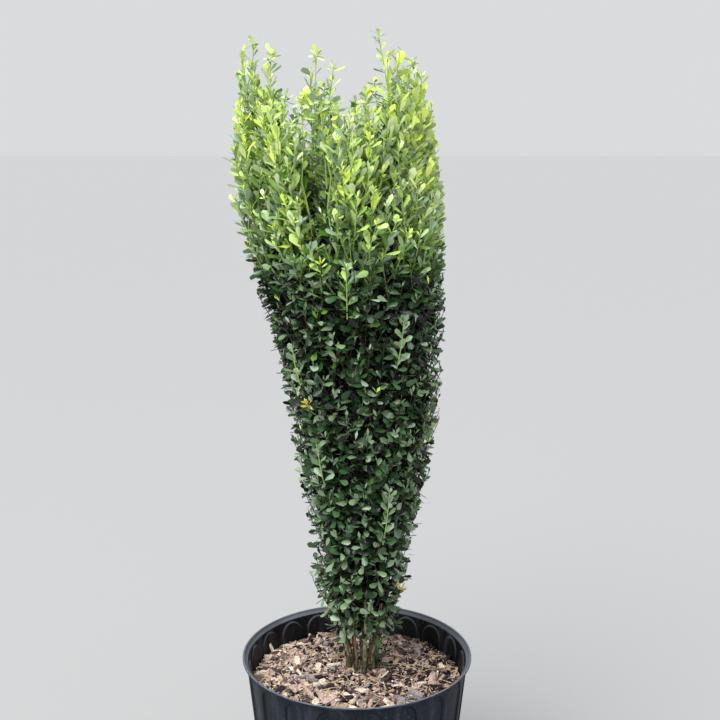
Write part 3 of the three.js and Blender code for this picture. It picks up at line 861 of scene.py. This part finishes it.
makeTrunk(barkMaterial("foot_bark", (40, 36, 28), (116, 106, 84), (78, 86, 56), 0.8))
makeStems([
    barkMaterial("grey_stem_bark", (84, 78, 62), (186, 178, 150), (122, 130, 96), 0.6),
    barkMaterial("tan_stem_bark", (90, 72, 54), (178, 154, 122), (112, 114, 82), 0.4),
])
print("trunk and stems")


# Leaves. A leaf lies along +X with its root at the origin, 1 long, its upper face towards +Z.

leaf = dict(
    length=14.5, thick=0.03,
    light=0.7,  # pull of the light, outwards and upwards, on its upper face
    stray=(-0.7, 0.7),
    turned=(0.75, 0.5),  # how far it rolls to the light, low and high in the crown
)
leafKinds = [  # rows of place along the leaf and half width, fold of the sides, droop of the tip
    ([(0, 0), (0.4, 0.17), (0.77, 0.26), (1, 0.08)], -0.08, 0.12),
    ([(0, 0), (0.42, 0.18), (0.8, 0.25), (1, 0.09)], -0.16, 0.2),
    ([(0, 0), (0.45, 0.2), (0.78, 0.23), (1, 0.05)], 0.06, -0.06),
    ([(0, 0), (0.48, 0.115), (0.8, 0.15), (1, 0.04)], 0.14, 0.02),
    ([(0, 0), (0.5, 0.125), (0.82, 0.17), (1, 0.05)], -0.06, 0.12),
    ([(0, 0), (0.62, 0.17), (1, 0)], 0.1, 0.05),
    ([(0, 0), (0.55, 0.24), (1, 0.1)], -0.1, 0.1),
]
broadKinds, narrowKinds, smallKinds, innerKinds = (0, 1, 2), (3, 4), (5,), (6,)
# The darkest tones are painted shade inside the crown. Sage is partly a painted sheen, pale is a painted
# highlight, and the silvery tone after yellow is wholly a painted sheen.
leafTones = [  # name, upper face, lower face, from the darkest
    ("shade", (7, 12, 7), (12, 18, 11)),
    ("dark", (16, 27, 16), (34, 46, 30)),
    ("deep", (36, 60, 33), (72, 92, 60)),
    ("mid", (62, 99, 56), (106, 132, 92)),
    ("sage", (124, 150, 110), (146, 166, 128)),
    ("fresh", (97, 143, 52), (140, 170, 96)),
    ("light", (156, 192, 106), (184, 208, 140)),
    ("lime", (202, 234, 122), (214, 236, 154)),
    ("pale", (220, 239, 164), (226, 240, 186)),
    ("yellow", (218, 240, 90), (224, 240, 130)),
    ("painted_sheen", (150, 174, 146), (164, 184, 156)),
    ("gold", (206, 192, 70), (212, 202, 110)),
]
darkTones = 3
sageTone, freshTone, paleHighlightTone, yellowTone, paintedSheenTone, goldTone = 4, 5, 8, 9, 10, 11
leafGloss = {"dark": (0.3, 0.35), "upper": (0.3, 0.75), "lower": (0.6, 0.3)}  # roughness, specular
leafGrain = {"scale": 420, "uneven": 0.08, "relief": (0.3, 0.0004)}
shootGrain = {"scale": 600, "uneven": 0.1, "relief": (0.4, 0.0004)}


def leafShape(rows, fold, droop):
    bm = bmesh.new()
    bmesh.ops.create_grid(bm, x_segments=2, y_segments=len(rows) - 1, size=1)
    for v in bm.verts:
        along, half = rows[round((v.co.y + 1) / 2 * (len(rows) - 1))]
        side = v.co.x
        v.co = Vector((along, side * half, fold * abs(side) * half * 2 - droop * along * along))
    bmesh.ops.recalc_face_normals(bm, faces=bm.faces[:])
    bm.normal_update()
    if bm.faces[0].normal.z < 0:
        bmesh.ops.reverse_faces(bm, faces=bm.faces[:])
    under = bmesh.ops.duplicate(bm, geom=bm.verts[:] + bm.edges[:] + bm.faces[:])["geom"]
    underFaces = [g for g in under if isinstance(g, bmesh.types.BMFace)]
    bmesh.ops.reverse_faces(bm, faces=underFaces)
    for face in underFaces:
        face.material_index = 1
    for g in under:
        if isinstance(g, bmesh.types.BMVert) and abs(g.co.y) < 1e-6 and 0 < g.co.x < 0.99:
            g.co.z -= leaf["thick"]
    bmesh.ops.remove_doubles(bm, verts=bm.verts[:], dist=1e-4)
    return arraysOf(bm)


# A plain tone, with a grain in its gloss and relief
def grownMaterial(name, colour, roughness, specular, grain):
    look = newMaterial(name, roughness, specular, colour)
    veins = objectNoise(look, grain["scale"], 2)
    low, high = roughness - grain["uneven"], roughness + grain["uneven"]
    feedShader(look, "Roughness", mapRange(look, veins, 0.35, 0.65, low, high))
    addBump(look, veins, *grain["relief"])
    return look


leafShapes = [leafShape(*kind) for kind in leafKinds]
leafLooks = []
for i, (name, upper, lower) in enumerate(leafTones):
    gloss = leafGloss["dark" if i < darkTones else "upper"]
    leafLooks.append(grownMaterial("leaf_" + name, upper, *gloss, leafGrain))
    leafLooks.append(grownMaterial("under_" + name, lower, *leafGloss["lower"], leafGrain))


# Growth. Everything grown is kept by mass: bars of wood, bars of green shoots, and leaves.

growth = dict(
    seed=101,
    massShares=(0.58, 0.72),  # of the crown's radius, for a mass's main limb
    mainDrops={"left": 60, "front_left": 41, "front": 59, "right": 39},
    leaders=[  # turn as a share of the mass's half width, share of the radius, fork, drop of the top
        (-0.66, 0.75, 350, 44),
        (0.64, 0.77, 362, 34),
        (0.05, 0.84, 440, 60),
        (-0.3, 0.56, 400, 44),
        (0.3, 0.36, 380, 62),
    ],
    leaderDrop=32,  # a leader's top may be lower by this
    forkRun=170, tipFork=590,
    tipRise=(110, 20),  # below a leader's top, where it goes out to its full radius share
    mostShare=0.85,  # of the crown's radius, below that
    roundness=8, centreTurns=1.3, centreSpread=0.3, topInset=8, leaderGirth=1.5, tipGirth=1.3, seedStep=17,
    leafPast=3,  # of a leaf's tip over the crown's outline
    swell=0.05, swellTurns=1.7, swellLength=58,  # of the crown's uneven outline
    highBetween=(670, 790),  # where the crown's leaves change to those of its top
)
tallTips = {  # turn share, radius share, drop of the top
    "left": [(0, 0.98, 0), (0.5, 0.76, 16), (-0.2, 1.0, 85), (0.45, 0.93, 96)],
    "front_left": [(0.3, 0.82, 73)],
    "front": [(-0.75, 0.72, 0)],
    "front_right": [(0.3, 0.87, 63)],
    "right": [(0, 1.0, 0), (-0.6, 0.85, 25), (0.5, 0.99, 29), (0.2, 1.0, 73)],
}
limb = dict(
    points=25, woodSteps=18, woodEndRadius=0.95, greenShare=1.3, greenRadii=(0.85, 0.5), looseRun=60,
    loose=(2.6, 7), looseBetween=(760, 960),
    slenderTop=(26, 72),  # length without side shoots, low and high
    ownTip=12,  # over its side shoots
    middle=3,  # nearer than this to the crown's middle line, its shoots have drawn headings
)
leafyTop = dict(
    length=110, gap=6.0, turnStray=(-0.25, 0.25), angles=(56, 32), angleStray=(-12, 12),
    sizes=(1.05, 0.68), sizeStray=(0.85, 1.15), narrowShare=0.4, ripeness=(-2.6, 0.2), tuftShare=0.46,
    yellowShare=0.3,
    endTuft={"count": 9, "grownUp": 1.5, "opening": 26},
)
inner = dict(  # dark leaves about a limb, their dark tones painted shade inside the crown
    gap=6, belowTop=60, depth=10, inwards=12, tones=(0, 1.6), highTone=2.4, angles=(30, 130),
)
shoot = dict(
    gap=10.5, gapStray=(0.75, 1.25),  # along a limb
    lean=(44, 24), tipLean=(22, 5), leanStray=(-8, 8), lengths=(22, 68), lengthStray=(0.85, 1.12),
    swing=(-120, 120), leastReach=9, backReach=0.6,
    spare=1.28,  # length over what reaches the outline straight outwards
    fits=[1, 0.93, 0.86, 0.79, 0.72, 0.65, 0.58, 0.5, 0.42],
    radii=(0.65, 0.95), endRadius=0.4, steps=5,
    bare=0.12,  # share at its foot
    leafGap=(5.4, 5.6), leastLeaves=4, alongStray=0.3, turnStray=(-0.3, 0.3), narrowShare=0.7,
    ripeness=[(-0.8, 0.7), (-2.2, 1.0)],  # of tone, at its foot and tip, low and high in the crown
    leafAngles=[(100, 52), (48, 28)],  # at its foot and tip, low and high in the crown
    angleStray=20, leafSizes=(1.08, 0.78), sizeStray=(0.8, 1.14),
    highSize=1.28,  # of leaves on the upright shoots high up, against those low down
    freshShare=0.05,  # of the lower crown's shoots
    freshTone=2.4, freshLength=48, freshLean=0.6, brownShare=0.4,
)
tuft = dict(
    share=0.36,  # of the top's leaves, with a tuft beside them
    besideCount=3, sizes=(0.36, 0.58), gap=0.8, opening=11, yellowShares=(0.01, 0.4), yellow=10.5,
    paler=(0.9, 1.8), tipCounts=(2, 6), tipSizes=(1.35, 1),
)
# The tones rise towards the top partly for young growth and partly as painted light: the top is painted as
# lit by the sky, the low crown as shaded.
toneHeights = [  # height and tone
    (330, 2.5), (560, 2.4), (690, 2.2), (720, 3.1), (755, 5.3), (820, 7.7), (880, 8.8), (940, 9.2),
]
# depth and rim: the tone falls with depth inside the crown, as painted shade
toneRules = dict(
    depth=(14, 26), rim=10, spray=1.2, leaf=(1.6, 2.0), lowCap=4.4, capBetween=(660, 730),
    # share of the paler leaves, low and high, given the silvery tone, a painted sheen
    paintedSheenShare=(0.1, 0.22),
    freshShare=0.014,  # of single leaves
    wave=34,  # of the heights over the crown
    waveLength=70,
)
hollow = {"centre": (-43, -92, 814), "size": (19, 38, 38)}  # a dark gap in the crown's front
oldShoot, youngShoot, brownShoot = range(3)


def limbShare(z):
    return lerp(*growth["massShares"], clamp((z - stem["end"]) / (crown["wide"] - stem["end"])))


def mainLimbPlace(mass, z):
    if mass["name"] == "centre":
        return crownCentre(z)
    return crownCentre(z) + levelHeading(mass["turn"]) * limbShare(z) * crownRadius(z)


# A leader follows the mass's main limb up to its fork, goes to its own part of the space and ends upright
def leaderPlace(mass, turnShare, radiusShare, fork, top, z):
    gone = smoothstep(z, fork, fork + growth["forkRun"])
    if mass["name"] == "centre":
        turn = (turnShare + 1) * pi * growth["centreTurns"]
        return crownCentre(z) + levelHeading(turn) * gone * growth["centreSpread"] * crownRadius(z)
    rising = smoothstep(z, top - growth["tipRise"][0], top - growth["tipRise"][1])
    reached = lerp(min(radiusShare, growth["mostShare"]), radiusShare, rising)
    own = lerp(limbShare(z), reached, gone) * crownRadius(z)
    last = max(radiusShare * crownRadius(top), 1)
    roundness = growth["roundness"]
    out = (own ** -roundness + last ** -roundness) ** (-1 / roundness)
    return crownCentre(z) + levelHeading(mass["turn"] + mass["half"] * turnShare * gone) * out


def awayFromCentre(place):  # level distance and direction
    away = place - crownCentre(place[2])
    away[2] = 0
    distance = float(np.linalg.norm(away))
    return distance, away / max(distance, 1e-6)


# The crown's uneven outer face, seen from its middle line
def outlineRadius(place, outward):
    x, y = growth["swellTurns"] * outward[:2]
    wave = noise.noise((x, y, place[2] / growth["swellLength"]))
    return crownRadius(place[2]) * (1 + growth["swell"] * wave)


def hollowParts(place):  # from the gap's centre, as shares of its size
    return [(place[k] - hollow["centre"][k]) / hollow["size"][k] for k in range(3)]


def inHollow(place):
    return sum(part ** 2 for part in hollowParts(place)) < 1


def besideHollow(place):  # the place, moved sideways until it is out of the gap
    x, y, z = hollowParts(place)
    rest = 1 - y ** 2 - z ** 2
    if rest > 0 and x ** 2 <= rest:
        place[0] = hollow["centre"][0] + copysign(sqrt(rest), x) * hollow["size"][0]
    return place


def highShare(z):
    return smoothstep(z, *growth["highBetween"])


def shootPath(start, heading, length, lean, endLean):
    points = [start]
    steps = shoot["steps"]
    for i in range(steps):
        angle = radians(lerp(lean, endLean, (i + 0.5) / steps))
        points.append(points[-1] + (heading * sin(angle) + up * cos(angle)) * length / steps)
    return points


def onPath(points, share):  # place and heading there
    along = clamp(share) * (len(points) - 1)
    index = min(int(along), len(points) - 2)
    step = points[index + 1] - points[index]
    return points[index] + step * (along - index), unit(step)


def acrossOf(heading, turn):
    side = np.cross(np.array([0.0, 1.0, 0.0]), heading)
    if np.linalg.norm(side) < 0.1:
        side = np.cross(np.array([1.0, 0.0, 0.0]), heading)
    side = unit(side)
    return side * cos(turn) + np.cross(heading, side) * sin(turn)


# Leaves are darker low down and deep inside the crown. Darker deep inside is painted shade; darker low down
# is partly older leaves and partly painted shade, against a top made paler partly by painted sky light.
def toneAt(place):
    distance, _ = awayFromCentre(place)
    depth = max(0, crownRadius(place[2]) - distance - toneRules["rim"])
    wave = toneRules["wave"] * noise.noise(place / toneRules["waveLength"])
    tone = np.interp(place[2] + wave, *zip(*toneHeights))
    return tone - depth / lerp(*toneRules["depth"], highShare(place[2]))


def dealTone(tone, z, draw):
    tone += draw(-1, 1) * lerp(*toneRules["leaf"], highShare(z))
    if tone < yellowTone:
        tone = min(tone, lerp(toneRules["lowCap"], paleHighlightTone, smoothstep(z, *toneRules["capBetween"])))
    tone = round(clamp(tone, 0, yellowTone))
    # a share of the paler leaves take the silvery tone, a painted sheen
    if tone >= sageTone and draw() < lerp(*toneRules["paintedSheenShare"], highShare(z)):
        return paintedSheenTone
    return freshTone if tone > 1 and draw() < toneRules["freshShare"] else tone


def growLeaf(grown, place, heading, turn, angle, size, tone, kinds):
    draw = grown["draw"]
    out = acrossOf(heading, turn)
    angle = radians(angle)
    along = heading * cos(angle) + out * sin(angle)
    above = heading * sin(angle) - out * cos(angle)
    length = leaf["length"] * size
    tip = place + along * length
    distance, outward = awayFromCentre(tip)
    if distance > crownRadius(tip[2]) + grown["past"] or tip[2] > grown["top"] or inHollow(tip):
        return
    stray = np.array([draw(*leaf["stray"]) for _ in range(3)])
    face = unit(outward * leaf["light"] + up * leaf["light"] + stray)
    across = unit(np.cross(lerp(above, face, lerp(*leaf["turned"], highShare(place[2]))), along))
    axes = (along, across, np.cross(along, across))
    if tone != goldTone:
        tone = dealTone(tone, place[2], draw)
    kind = kinds[int(draw() * len(kinds)) % len(kinds)]
    grown["leaves"].append((place, axes, length, kind, tone))


# A few small young leaves at a shoot's end
def growTuft(grown, place, heading, tone, count=4, grownUp=1.0, opening=20, kinds=smallKinds):
    draw = grown["draw"]
    turn = draw(0, 2 * pi)
    for i in range(count):
        turn += goldenTurn
        size = draw(*tuft["sizes"]) * grownUp
        angle = opening + tuft["opening"] * i
        growLeaf(grown, place - heading * tuft["gap"] * i, heading, turn, angle, size, tone, kinds)


# A side shoot with its leaves, shortened until it fits the crown's outline
def growShoot(grown, start, heading, length, lean, fresh):
    draw = grown["draw"]
    tipLean = lerp(*shoot["tipLean"], highShare(start[2]))
    for fit in shoot["fits"]:
        points = shootPath(start, heading, length * fit, lean, tipLean)
        tip = points[-1]
        distance, outward = awayFromCentre(tip)
        if distance < outlineRadius(tip, outward) and tip[2] < grown["sideTop"]:
            break
    else:
        return
    if any(inHollow(point) for point in points):
        return
    high = highShare(tip[2])
    tone = toneAt(tip) + draw(-1, 1) * toneRules["spray"] + fresh
    look = youngShoot if high > 0.5 or fresh else brownShoot if draw() < shoot["brownShare"] else oldShoot
    grown["green"].append((points, lerp(*shoot["radii"], high), shoot["endRadius"], look))
    bare = shoot["bare"]
    fitting = int(length * fit * (1 - bare) / lerp(*shoot["leafGap"], high))
    count = max(shoot["leastLeaves"], fitting)
    turn = draw(0, 2 * pi)
    lowAngles, highAngles = shoot["leafAngles"]
    lowRipe, highRipe = shoot["ripeness"]
    for i in range(count):
        along = bare + (1 - bare) * (i + shoot["alongStray"] * draw()) / count
        place, ahead = onPath(points, along)
        turn += goldenTurn + draw(*shoot["turnStray"])
        angle = lerp(lerp(*lowAngles, along ** 1.5), lerp(*highAngles, along), max(high, min(1, fresh)))
        angle += draw(-1, 1) * shoot["angleStray"]
        size = lerp(*shoot["leafSizes"], along ** 2) * draw(*shoot["sizeStray"])
        size *= lerp(1, shoot["highSize"], high)
        kinds = narrowKinds if draw() < high * shoot["narrowShare"] else broadKinds
        ripe = lerp(lerp(*lowRipe, along), lerp(*highRipe, along), high)
        growLeaf(grown, place, ahead, turn, angle, size, tone + ripe, kinds)
        if draw() < high * tuft["share"]:
            growTuft(grown, place + ahead * 3, unit(ahead + 0.5 * outward), tone + 1.6, tuft["besideCount"])
    tone += lerp(*tuft["paler"], high)
    if draw() < lerp(*tuft["yellowShares"], high):
        tone = tuft["yellow"]
    growTuft(grown, tip, ahead, tone, round(lerp(*tuft["tipCounts"], high)), lerp(*tuft["tipSizes"], high))


# An upright limb with side shoots all the way and a leafy top
def growLimb(grown, placeAt, low, high, girth):
    draw = grown["draw"]
    grown["sideTop"] = high - limb["ownTip"]
    run = limb["looseRun"]
    sway = draw(0, 6)
    points = []
    for z in np.linspace(low, high, limb["points"]):
        place = placeAt(z)
        loose = smoothstep(z, low, low + run) * lerp(*limb["loose"], smoothstep(z, *limb["looseBetween"]))
        place[0] += loose * noise.noise((z / run, sway, 0))
        place[1] += loose * noise.noise((sway, z / run, 9))
        points.append(besideHollow(place))
    woody = 1 - leafyTop["length"] * limb["greenShare"] / (high - low)
    wood = [onPath(points, woody * i / limb["woodSteps"])[0] for i in range(limb["woodSteps"] + 1)]
    top = [onPath(points, lerp(woody, 1, i / shoot["steps"]))[0] for i in range(shoot["steps"] + 1)]
    grown["wood"].append((wood, girth, limb["woodEndRadius"], 0))
    grown["green"].append((top, *limb["greenRadii"], youngShoot))
    z = low + shoot["gap"] * draw()
    turn = draw()
    while z < high - lerp(*limb["slenderTop"], highShare(high)):
        start, _ = onPath(points, (z - low) / (high - low))
        distance, outward = awayFromCentre(start)
        if distance < limb["middle"]:
            outward = levelHeading(draw(0, 6.28))
        turn = (turn + goldenShare) % 1
        swing = radians(lerp(*shoot["swing"], turn))
        heading = levelHeading(atan2(outward[1], outward[0]) + swing)
        reach = max(shoot["leastReach"], outlineRadius(start, outward) - distance)
        reach *= lerp(1, shoot["backReach"], abs(swing) / 2)
        share = highShare(z)
        lean = lerp(*shoot["lean"], share) + draw(*shoot["leanStray"])
        meanLean = (lean + lerp(*shoot["tipLean"], share)) / 2
        length = shoot["spare"] * reach / sin(radians(meanLean))
        length = clamp(length, *shoot["lengths"]) * draw(*shoot["lengthStray"])
        if draw() < shoot["freshShare"] * (1 - share):
            length = max(length, shoot["freshLength"])
            growShoot(grown, start, heading, length, lean * shoot["freshLean"], shoot["freshTone"])
        else:
            growShoot(grown, start, heading, length, lean, 0.0)
        z += shoot["gap"] * draw(*shoot["gapStray"])
    growTop(grown, points, low, high)
    growInside(grown, points, low, high)


def growTop(grown, points, low, high):
    draw = grown["draw"]
    count = int(leafyTop["length"] / leafyTop["gap"])
    start = 1 - leafyTop["length"] / (high - low)
    turn = draw(0, 2 * pi)
    tone = toneAt(points[-1]) + draw(-1, 1)
    for i in range(count):
        young = i / count
        place, ahead = onPath(points, lerp(start, 1, young))
        turn += goldenTurn + draw(*leafyTop["turnStray"])
        size = lerp(*leafyTop["sizes"], young ** 1.4) * draw(*leafyTop["sizeStray"])
        angle = lerp(*leafyTop["angles"], young) + draw(*leafyTop["angleStray"])
        kinds = narrowKinds if draw() < leafyTop["narrowShare"] else broadKinds
        growLeaf(grown, place, ahead, turn, angle, size, tone + lerp(*leafyTop["ripeness"], young), kinds)
        if draw() < leafyTop["tuftShare"]:
            out = acrossOf(ahead, turn)
            beside, outwards = place + ahead * 2 + out, unit(ahead + 0.7 * out)
            growTuft(grown, beside, outwards, tone + young, tuft["besideCount"])
    tone = yellowTone if draw() < leafyTop["yellowShare"] else tone + 1.2
    growTuft(grown, points[-1], ahead, tone, kinds=broadKinds, **leafyTop["endTuft"])


# Dark leaves about a limb, which close the crown behind its outer shoots. Their dark tones are painted shade.
def growInside(grown, points, low, high):
    draw = grown["draw"]
    for z in np.arange(low, high - inner["belowTop"], inner["gap"]):
        place, ahead = onPath(points, (z - low) / (high - low))
        distance, outward = awayFromCentre(place)
        place = place - outward * draw(0, inner["inwards"])
        if crownRadius(z) - distance > inner["depth"]:
            turn = draw(0, 2 * pi)
            tone = draw(*inner["tones"]) + inner["highTone"] * highShare(z)
            growLeaf(grown, place, ahead, turn, draw(*inner["angles"]), draw(0.9, 1.15), tone, innerKinds)


def newGrowth(seed, top, past):
    return dict(draw=seeded(seed), top=top, past=past, sideTop=top, leaves=[], wood=[], green=[])


def growMass(mass):
    grown = newGrowth(growth["seed"] + growth["seedStep"] * mass["index"], mass["top"], growth["leafPast"])

    def growLeader(turnShare, radiusShare, fork, top, girth):
        growLimb(grown, lambda z: leaderPlace(mass, turnShare, radiusShare, fork, top, z), fork, top, girth)

    tall = mass["top"] - growth["topInset"]
    top = tall - growth["mainDrops"].get(mass["name"], 0)
    growLimb(grown, lambda z: mainLimbPlace(mass, z), stem["end"] - 1, top, stemRadius(mass, 1))
    for turnShare, radiusShare, fork, drop in growth["leaders"]:
        top = tall - drop - growth["leaderDrop"] * grown["draw"]()
        growLeader(turnShare, radiusShare, fork, top, growth["leaderGirth"])
    for turnShare, radiusShare, drop in tallTips.get(mass["name"], []):
        growLeader(turnShare, radiusShare, growth["tipFork"], tall - drop, growth["tipGirth"])
    return grown


sprig = dict(
    seed=911, low=243, high=338, lengths=(28, 66), leans=(66, 30), tipLean=12, bare=0.14, radius=0.7,
    leafPast=15, tipPast=8, leafGap=5.0, leafAngles=(95, 48), leafSizes=(0.8, 1.2),
    tones=[2.2, 2.9, 3.4, 4.0], smallShare=0.75, smallBetween=(240, 285), shortShare=0.55,
    shortBetween=(240, 290), crowding=1.1, swing=(-100, 100), seedStep=31,
)
innerSprig = dict(  # dark leaves about a stem, their dark tones painted shade among the stems
    low=269.6, high=388, gap=2.0, centreGap=1.2, inwards=14,
    outwards=9, outBetween=(290, 320),  # higher up they stand outwards too
)
sprigCounts = {
    "right": 18, "back_right": 13, "back": 13, "back_left": 12, "left": 20,
    "front_left": 16, "front": 8, "front_right": 16, "centre": 6,
}
openFront = {"left": -14, "right": 34, "low": 212, "high": 318, "kept": 0.36}  # where the stems show
groundShoot = dict(
    count=10, seed=37, ring=(9, 22), lengths=(34, 92), leans=(14, 36), radius=1.0, bare=(0.4, 0.6),
)
brightShoots = [  # foot, length and tone of the fresh upright shoots on the crown's face
    (30, -52, 398, 72, 4.2),
    (72, -28, 506, 58, 5.0),
    (-62, -68, 590, 46, 5.4),
    (-10, -92, 668, 60, 5.0),
    (44, -78, 612, 56, 4.8),
    (-36, -58, 470, 50, 4.4),
    (58, 52, 560, 60, 4.8),
    (-78, 34, 610, 60, 5.0),
]
brightLeaf = {"gap": 4.6, "angles": (58, 30), "sizes": (1.12, 0.8)}
goldTufts = [(55, -24, 318), (-56, -64, 553), (70, -36, 498)]


def beforeStems(place):
    across = openFront["left"] < place[0] < openFront["right"] and place[1] < foot["y"]
    return across and openFront["low"] < place[2] < openFront["high"]


# A leafy shoot below the crown, from a stem or from the soil
def growSprig(grown, start, heading, length, lean, bare, radius, look):
    draw = grown["draw"]
    for fit in shoot["fits"]:
        points = shootPath(start, heading, length * fit, lean, sprig["tipLean"])
        distance, _ = awayFromCentre(points[-1])
        if distance < crownRadius(points[-1][2]) + sprig["tipPast"]:
            break
    grown["green"].append((points, radius, shoot["endRadius"], look))
    tone = sprig["tones"][int(draw() * len(sprig["tones"]))]
    count = int(length * fit * (1 - bare) / sprig["leafGap"])
    turn = draw(0, 2 * pi)
    for i in range(count):
        share = lerp(bare, 1, i / count)
        place, ahead = onPath(points, share)
        turn += goldenTurn + draw(*shoot["turnStray"])
        if beforeStems(place) and draw() > openFront["kept"]:
            continue
        angle = lerp(*sprig["leafAngles"], share ** 1.5) + draw(-1, 1) * shoot["angleStray"]
        grownUp = lerp(sprig["smallShare"], 1, smoothstep(place[2], *sprig["smallBetween"]))
        size = draw(*sprig["leafSizes"]) * grownUp
        growLeaf(grown, place, ahead, turn, angle, size, tone, broadKinds)
    growTuft(grown, points[-1], ahead, tone + 1)


def growSprigs(mass):
    grown = newGrowth(sprig["seed"] + sprig["seedStep"] * mass["index"], stem["end"] + 40, sprig["leafPast"])
    draw = grown["draw"]
    count = sprigCounts[mass["name"]]
    for i in range(count):
        z = lerp(sprig["low"], sprig["high"], ((i + draw()) / count) ** sprig["crowding"])
        heading = levelHeading(mass["turn"] + radians(draw(*sprig["swing"])))
        length = draw(*sprig["lengths"]) * lerp(sprig["shortShare"], 1, smoothstep(z, *sprig["shortBetween"]))
        look = brownShoot if draw() < 0.5 else oldShoot
        lean = draw(*sprig["leans"])
        growSprig(grown, stemPlace(mass, z), heading, length, lean, sprig["bare"], sprig["radius"], look)
    central = mass["name"] == "centre"
    gap = innerSprig["centreGap" if central else "gap"]
    for z in np.arange(innerSprig["low"], innerSprig["high"], gap):
        outwards = innerSprig["outwards"] * smoothstep(z, *innerSprig["outBetween"])
        inwards = draw(-outwards, innerSprig["inwards"])
        heading = levelHeading(draw(0, 2 * pi) if central else mass["turn"])
        place = stemPlace(mass, z) - heading * inwards
        turn, angle, size = draw(0, 2 * pi), draw(*inner["angles"]), draw(0.8, 1.2)
        growLeaf(grown, place, up, turn, angle, size, draw(*inner["tones"]), innerKinds)
    return grown


# Thin bare shoots that come up from the soil about the stems, leafy at their ends
def growGroundShoots():
    grown = newGrowth(groundShoot["seed"], stem["end"] + 20, sprig["leafPast"])
    draw = grown["draw"]
    for i in range(groundShoot["count"]):
        turn = goldenTurn * i
        out = draw(*groundShoot["ring"])
        x, y = foot["x"] + out * cos(turn), foot["y"] + out * sin(turn)
        start = np.array([x, y, soilHeight(x, y) - 2])
        heading = levelHeading(turn + draw(-0.5, 0.5))
        bare = draw(*groundShoot["bare"])
        length = draw(*groundShoot["lengths"])
        look = oldShoot if i % 3 == 2 else brownShoot
        lean = draw(*groundShoot["leans"])
        growSprig(grown, start, heading, length, lean, bare, groundShoot["radius"], look)
    return grown


# Fresh shoots and yellow tufts which stand out on the crown's face
def growMarks():
    grown = newGrowth(sprig["seed"] + 7, 800, sprig["leafPast"])
    draw = grown["draw"]
    for *start, length, tone in brightShoots:
        _, outward = awayFromCentre(np.array(start))
        points = shootPath(np.array(start), outward, length, 24, 6)
        grown["green"].append((points, 0.85, 0.45, youngShoot))
        turn = draw(0, 2 * pi)
        count = int(length / brightLeaf["gap"])
        for i in range(count):
            share = (i + 0.6) / count
            place, ahead = onPath(points, share)
            turn += goldenTurn
            angle, size = (lerp(*brightLeaf[key], share) for key in ("angles", "sizes"))
            growLeaf(grown, place, ahead, turn, angle, size, tone + share, broadKinds)
        growTuft(grown, points[-1], ahead, tone + 2, 6)
    for place in goldTufts:
        _, outward = awayFromCentre(np.array(place))
        points = shootPath(place - outward * 14, outward, 22, 60, 20)
        grown["green"].append((points, 0.7, 0.45, youngShoot))
        growTuft(grown, points[-1], unit(outward + up), goldTone, 8, 1.1)
        growTuft(grown, points[-2], unit(outward + up), goldTone, 5, 1.3)
    return grown


def leafMesh(leaves):
    parts = []
    looks = []
    for kind, (points, triangles, sides) in enumerate(leafShapes):
        chosen = [entry for entry in leaves if entry[3] == kind]
        if chosen:
            places, axes, lengths, _, tones = (np.array(column) for column in zip(*chosen))
            parts.append(joinCopies(triangles, places[:, None] + (points @ axes) * lengths[:, None, None]))
            looks.append(np.repeat(tones, len(triangles)) * 2 + np.tile(sides, len(chosen)))
    return meshFromArrays(*joinParts(parts), 62, np.concatenate(looks))


def barMesh(bars, sides):
    paths, firstRadii, lastRadii, looks = (np.array(column) for column in zip(*bars))
    radii = np.linspace(firstRadii, lastRadii, paths.shape[1], axis=1)
    points, triangles = bentBars(paths, radii, sides)
    return meshFromArrays(points, triangles, 80, np.repeat(looks, len(triangles) // len(bars)))


limbBark = barkMaterial("limb_bark", (32, 27, 22), (82, 70, 58), (62, 70, 46), 0.4)
shootLooks = [
    grownMaterial("old_shoot", (42, 46, 30), 0.65, 0.3, shootGrain),
    grownMaterial("young_shoot", (156, 182, 92), 0.55, 0.4, shootGrain),
    grownMaterial("brown_shoot", (66, 54, 42), 0.7, 0.3, shootGrain),
]


def addGrown(grown, name, kind, replaced):
    addPiece(f"{kind}leaves_{name}", leafMesh(grown["leaves"]), replaced, leafLooks)
    addPiece(f"{kind}shoots_{name}", barMesh(grown["green"], 3), replaced, shootLooks)
    if grown["wood"]:
        addPiece(f"{kind}limbs_{name}", barMesh(grown["wood"], 7), replaced, [limbBark])


leafCount = 0
for mass in masses:
    grown = growMass(mass)
    leafCount += len(grown["leaves"])
    addGrown(grown, mass["name"], "", ["foliage_" + mass["name"]])
print("crown,", leafCount, "leaves")

sprigNodes = {"right", "back", "left", "front_left", "front_right"}  # masses with a low sprig in the CAD
for mass in masses:
    grown = growSprigs(mass)
    leafCount += len(grown["leaves"])
    node = "low_sprig_" + mass["name"]
    addGrown(grown, mass["name"], "low_", [node] if mass["name"] in sprigNodes else [])
addGrown(growGroundShoots(), "ground", "low_", [])
addGrown(growMarks(), "marks", "", [])
print("low sprigs,", leafCount, "leaves in all")


# Size
triangleCount = 0
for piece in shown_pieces():
    piece.data.calc_loop_triangles()
    triangleCount += len(piece.data.loop_triangles)
print("triangles", triangleCount)
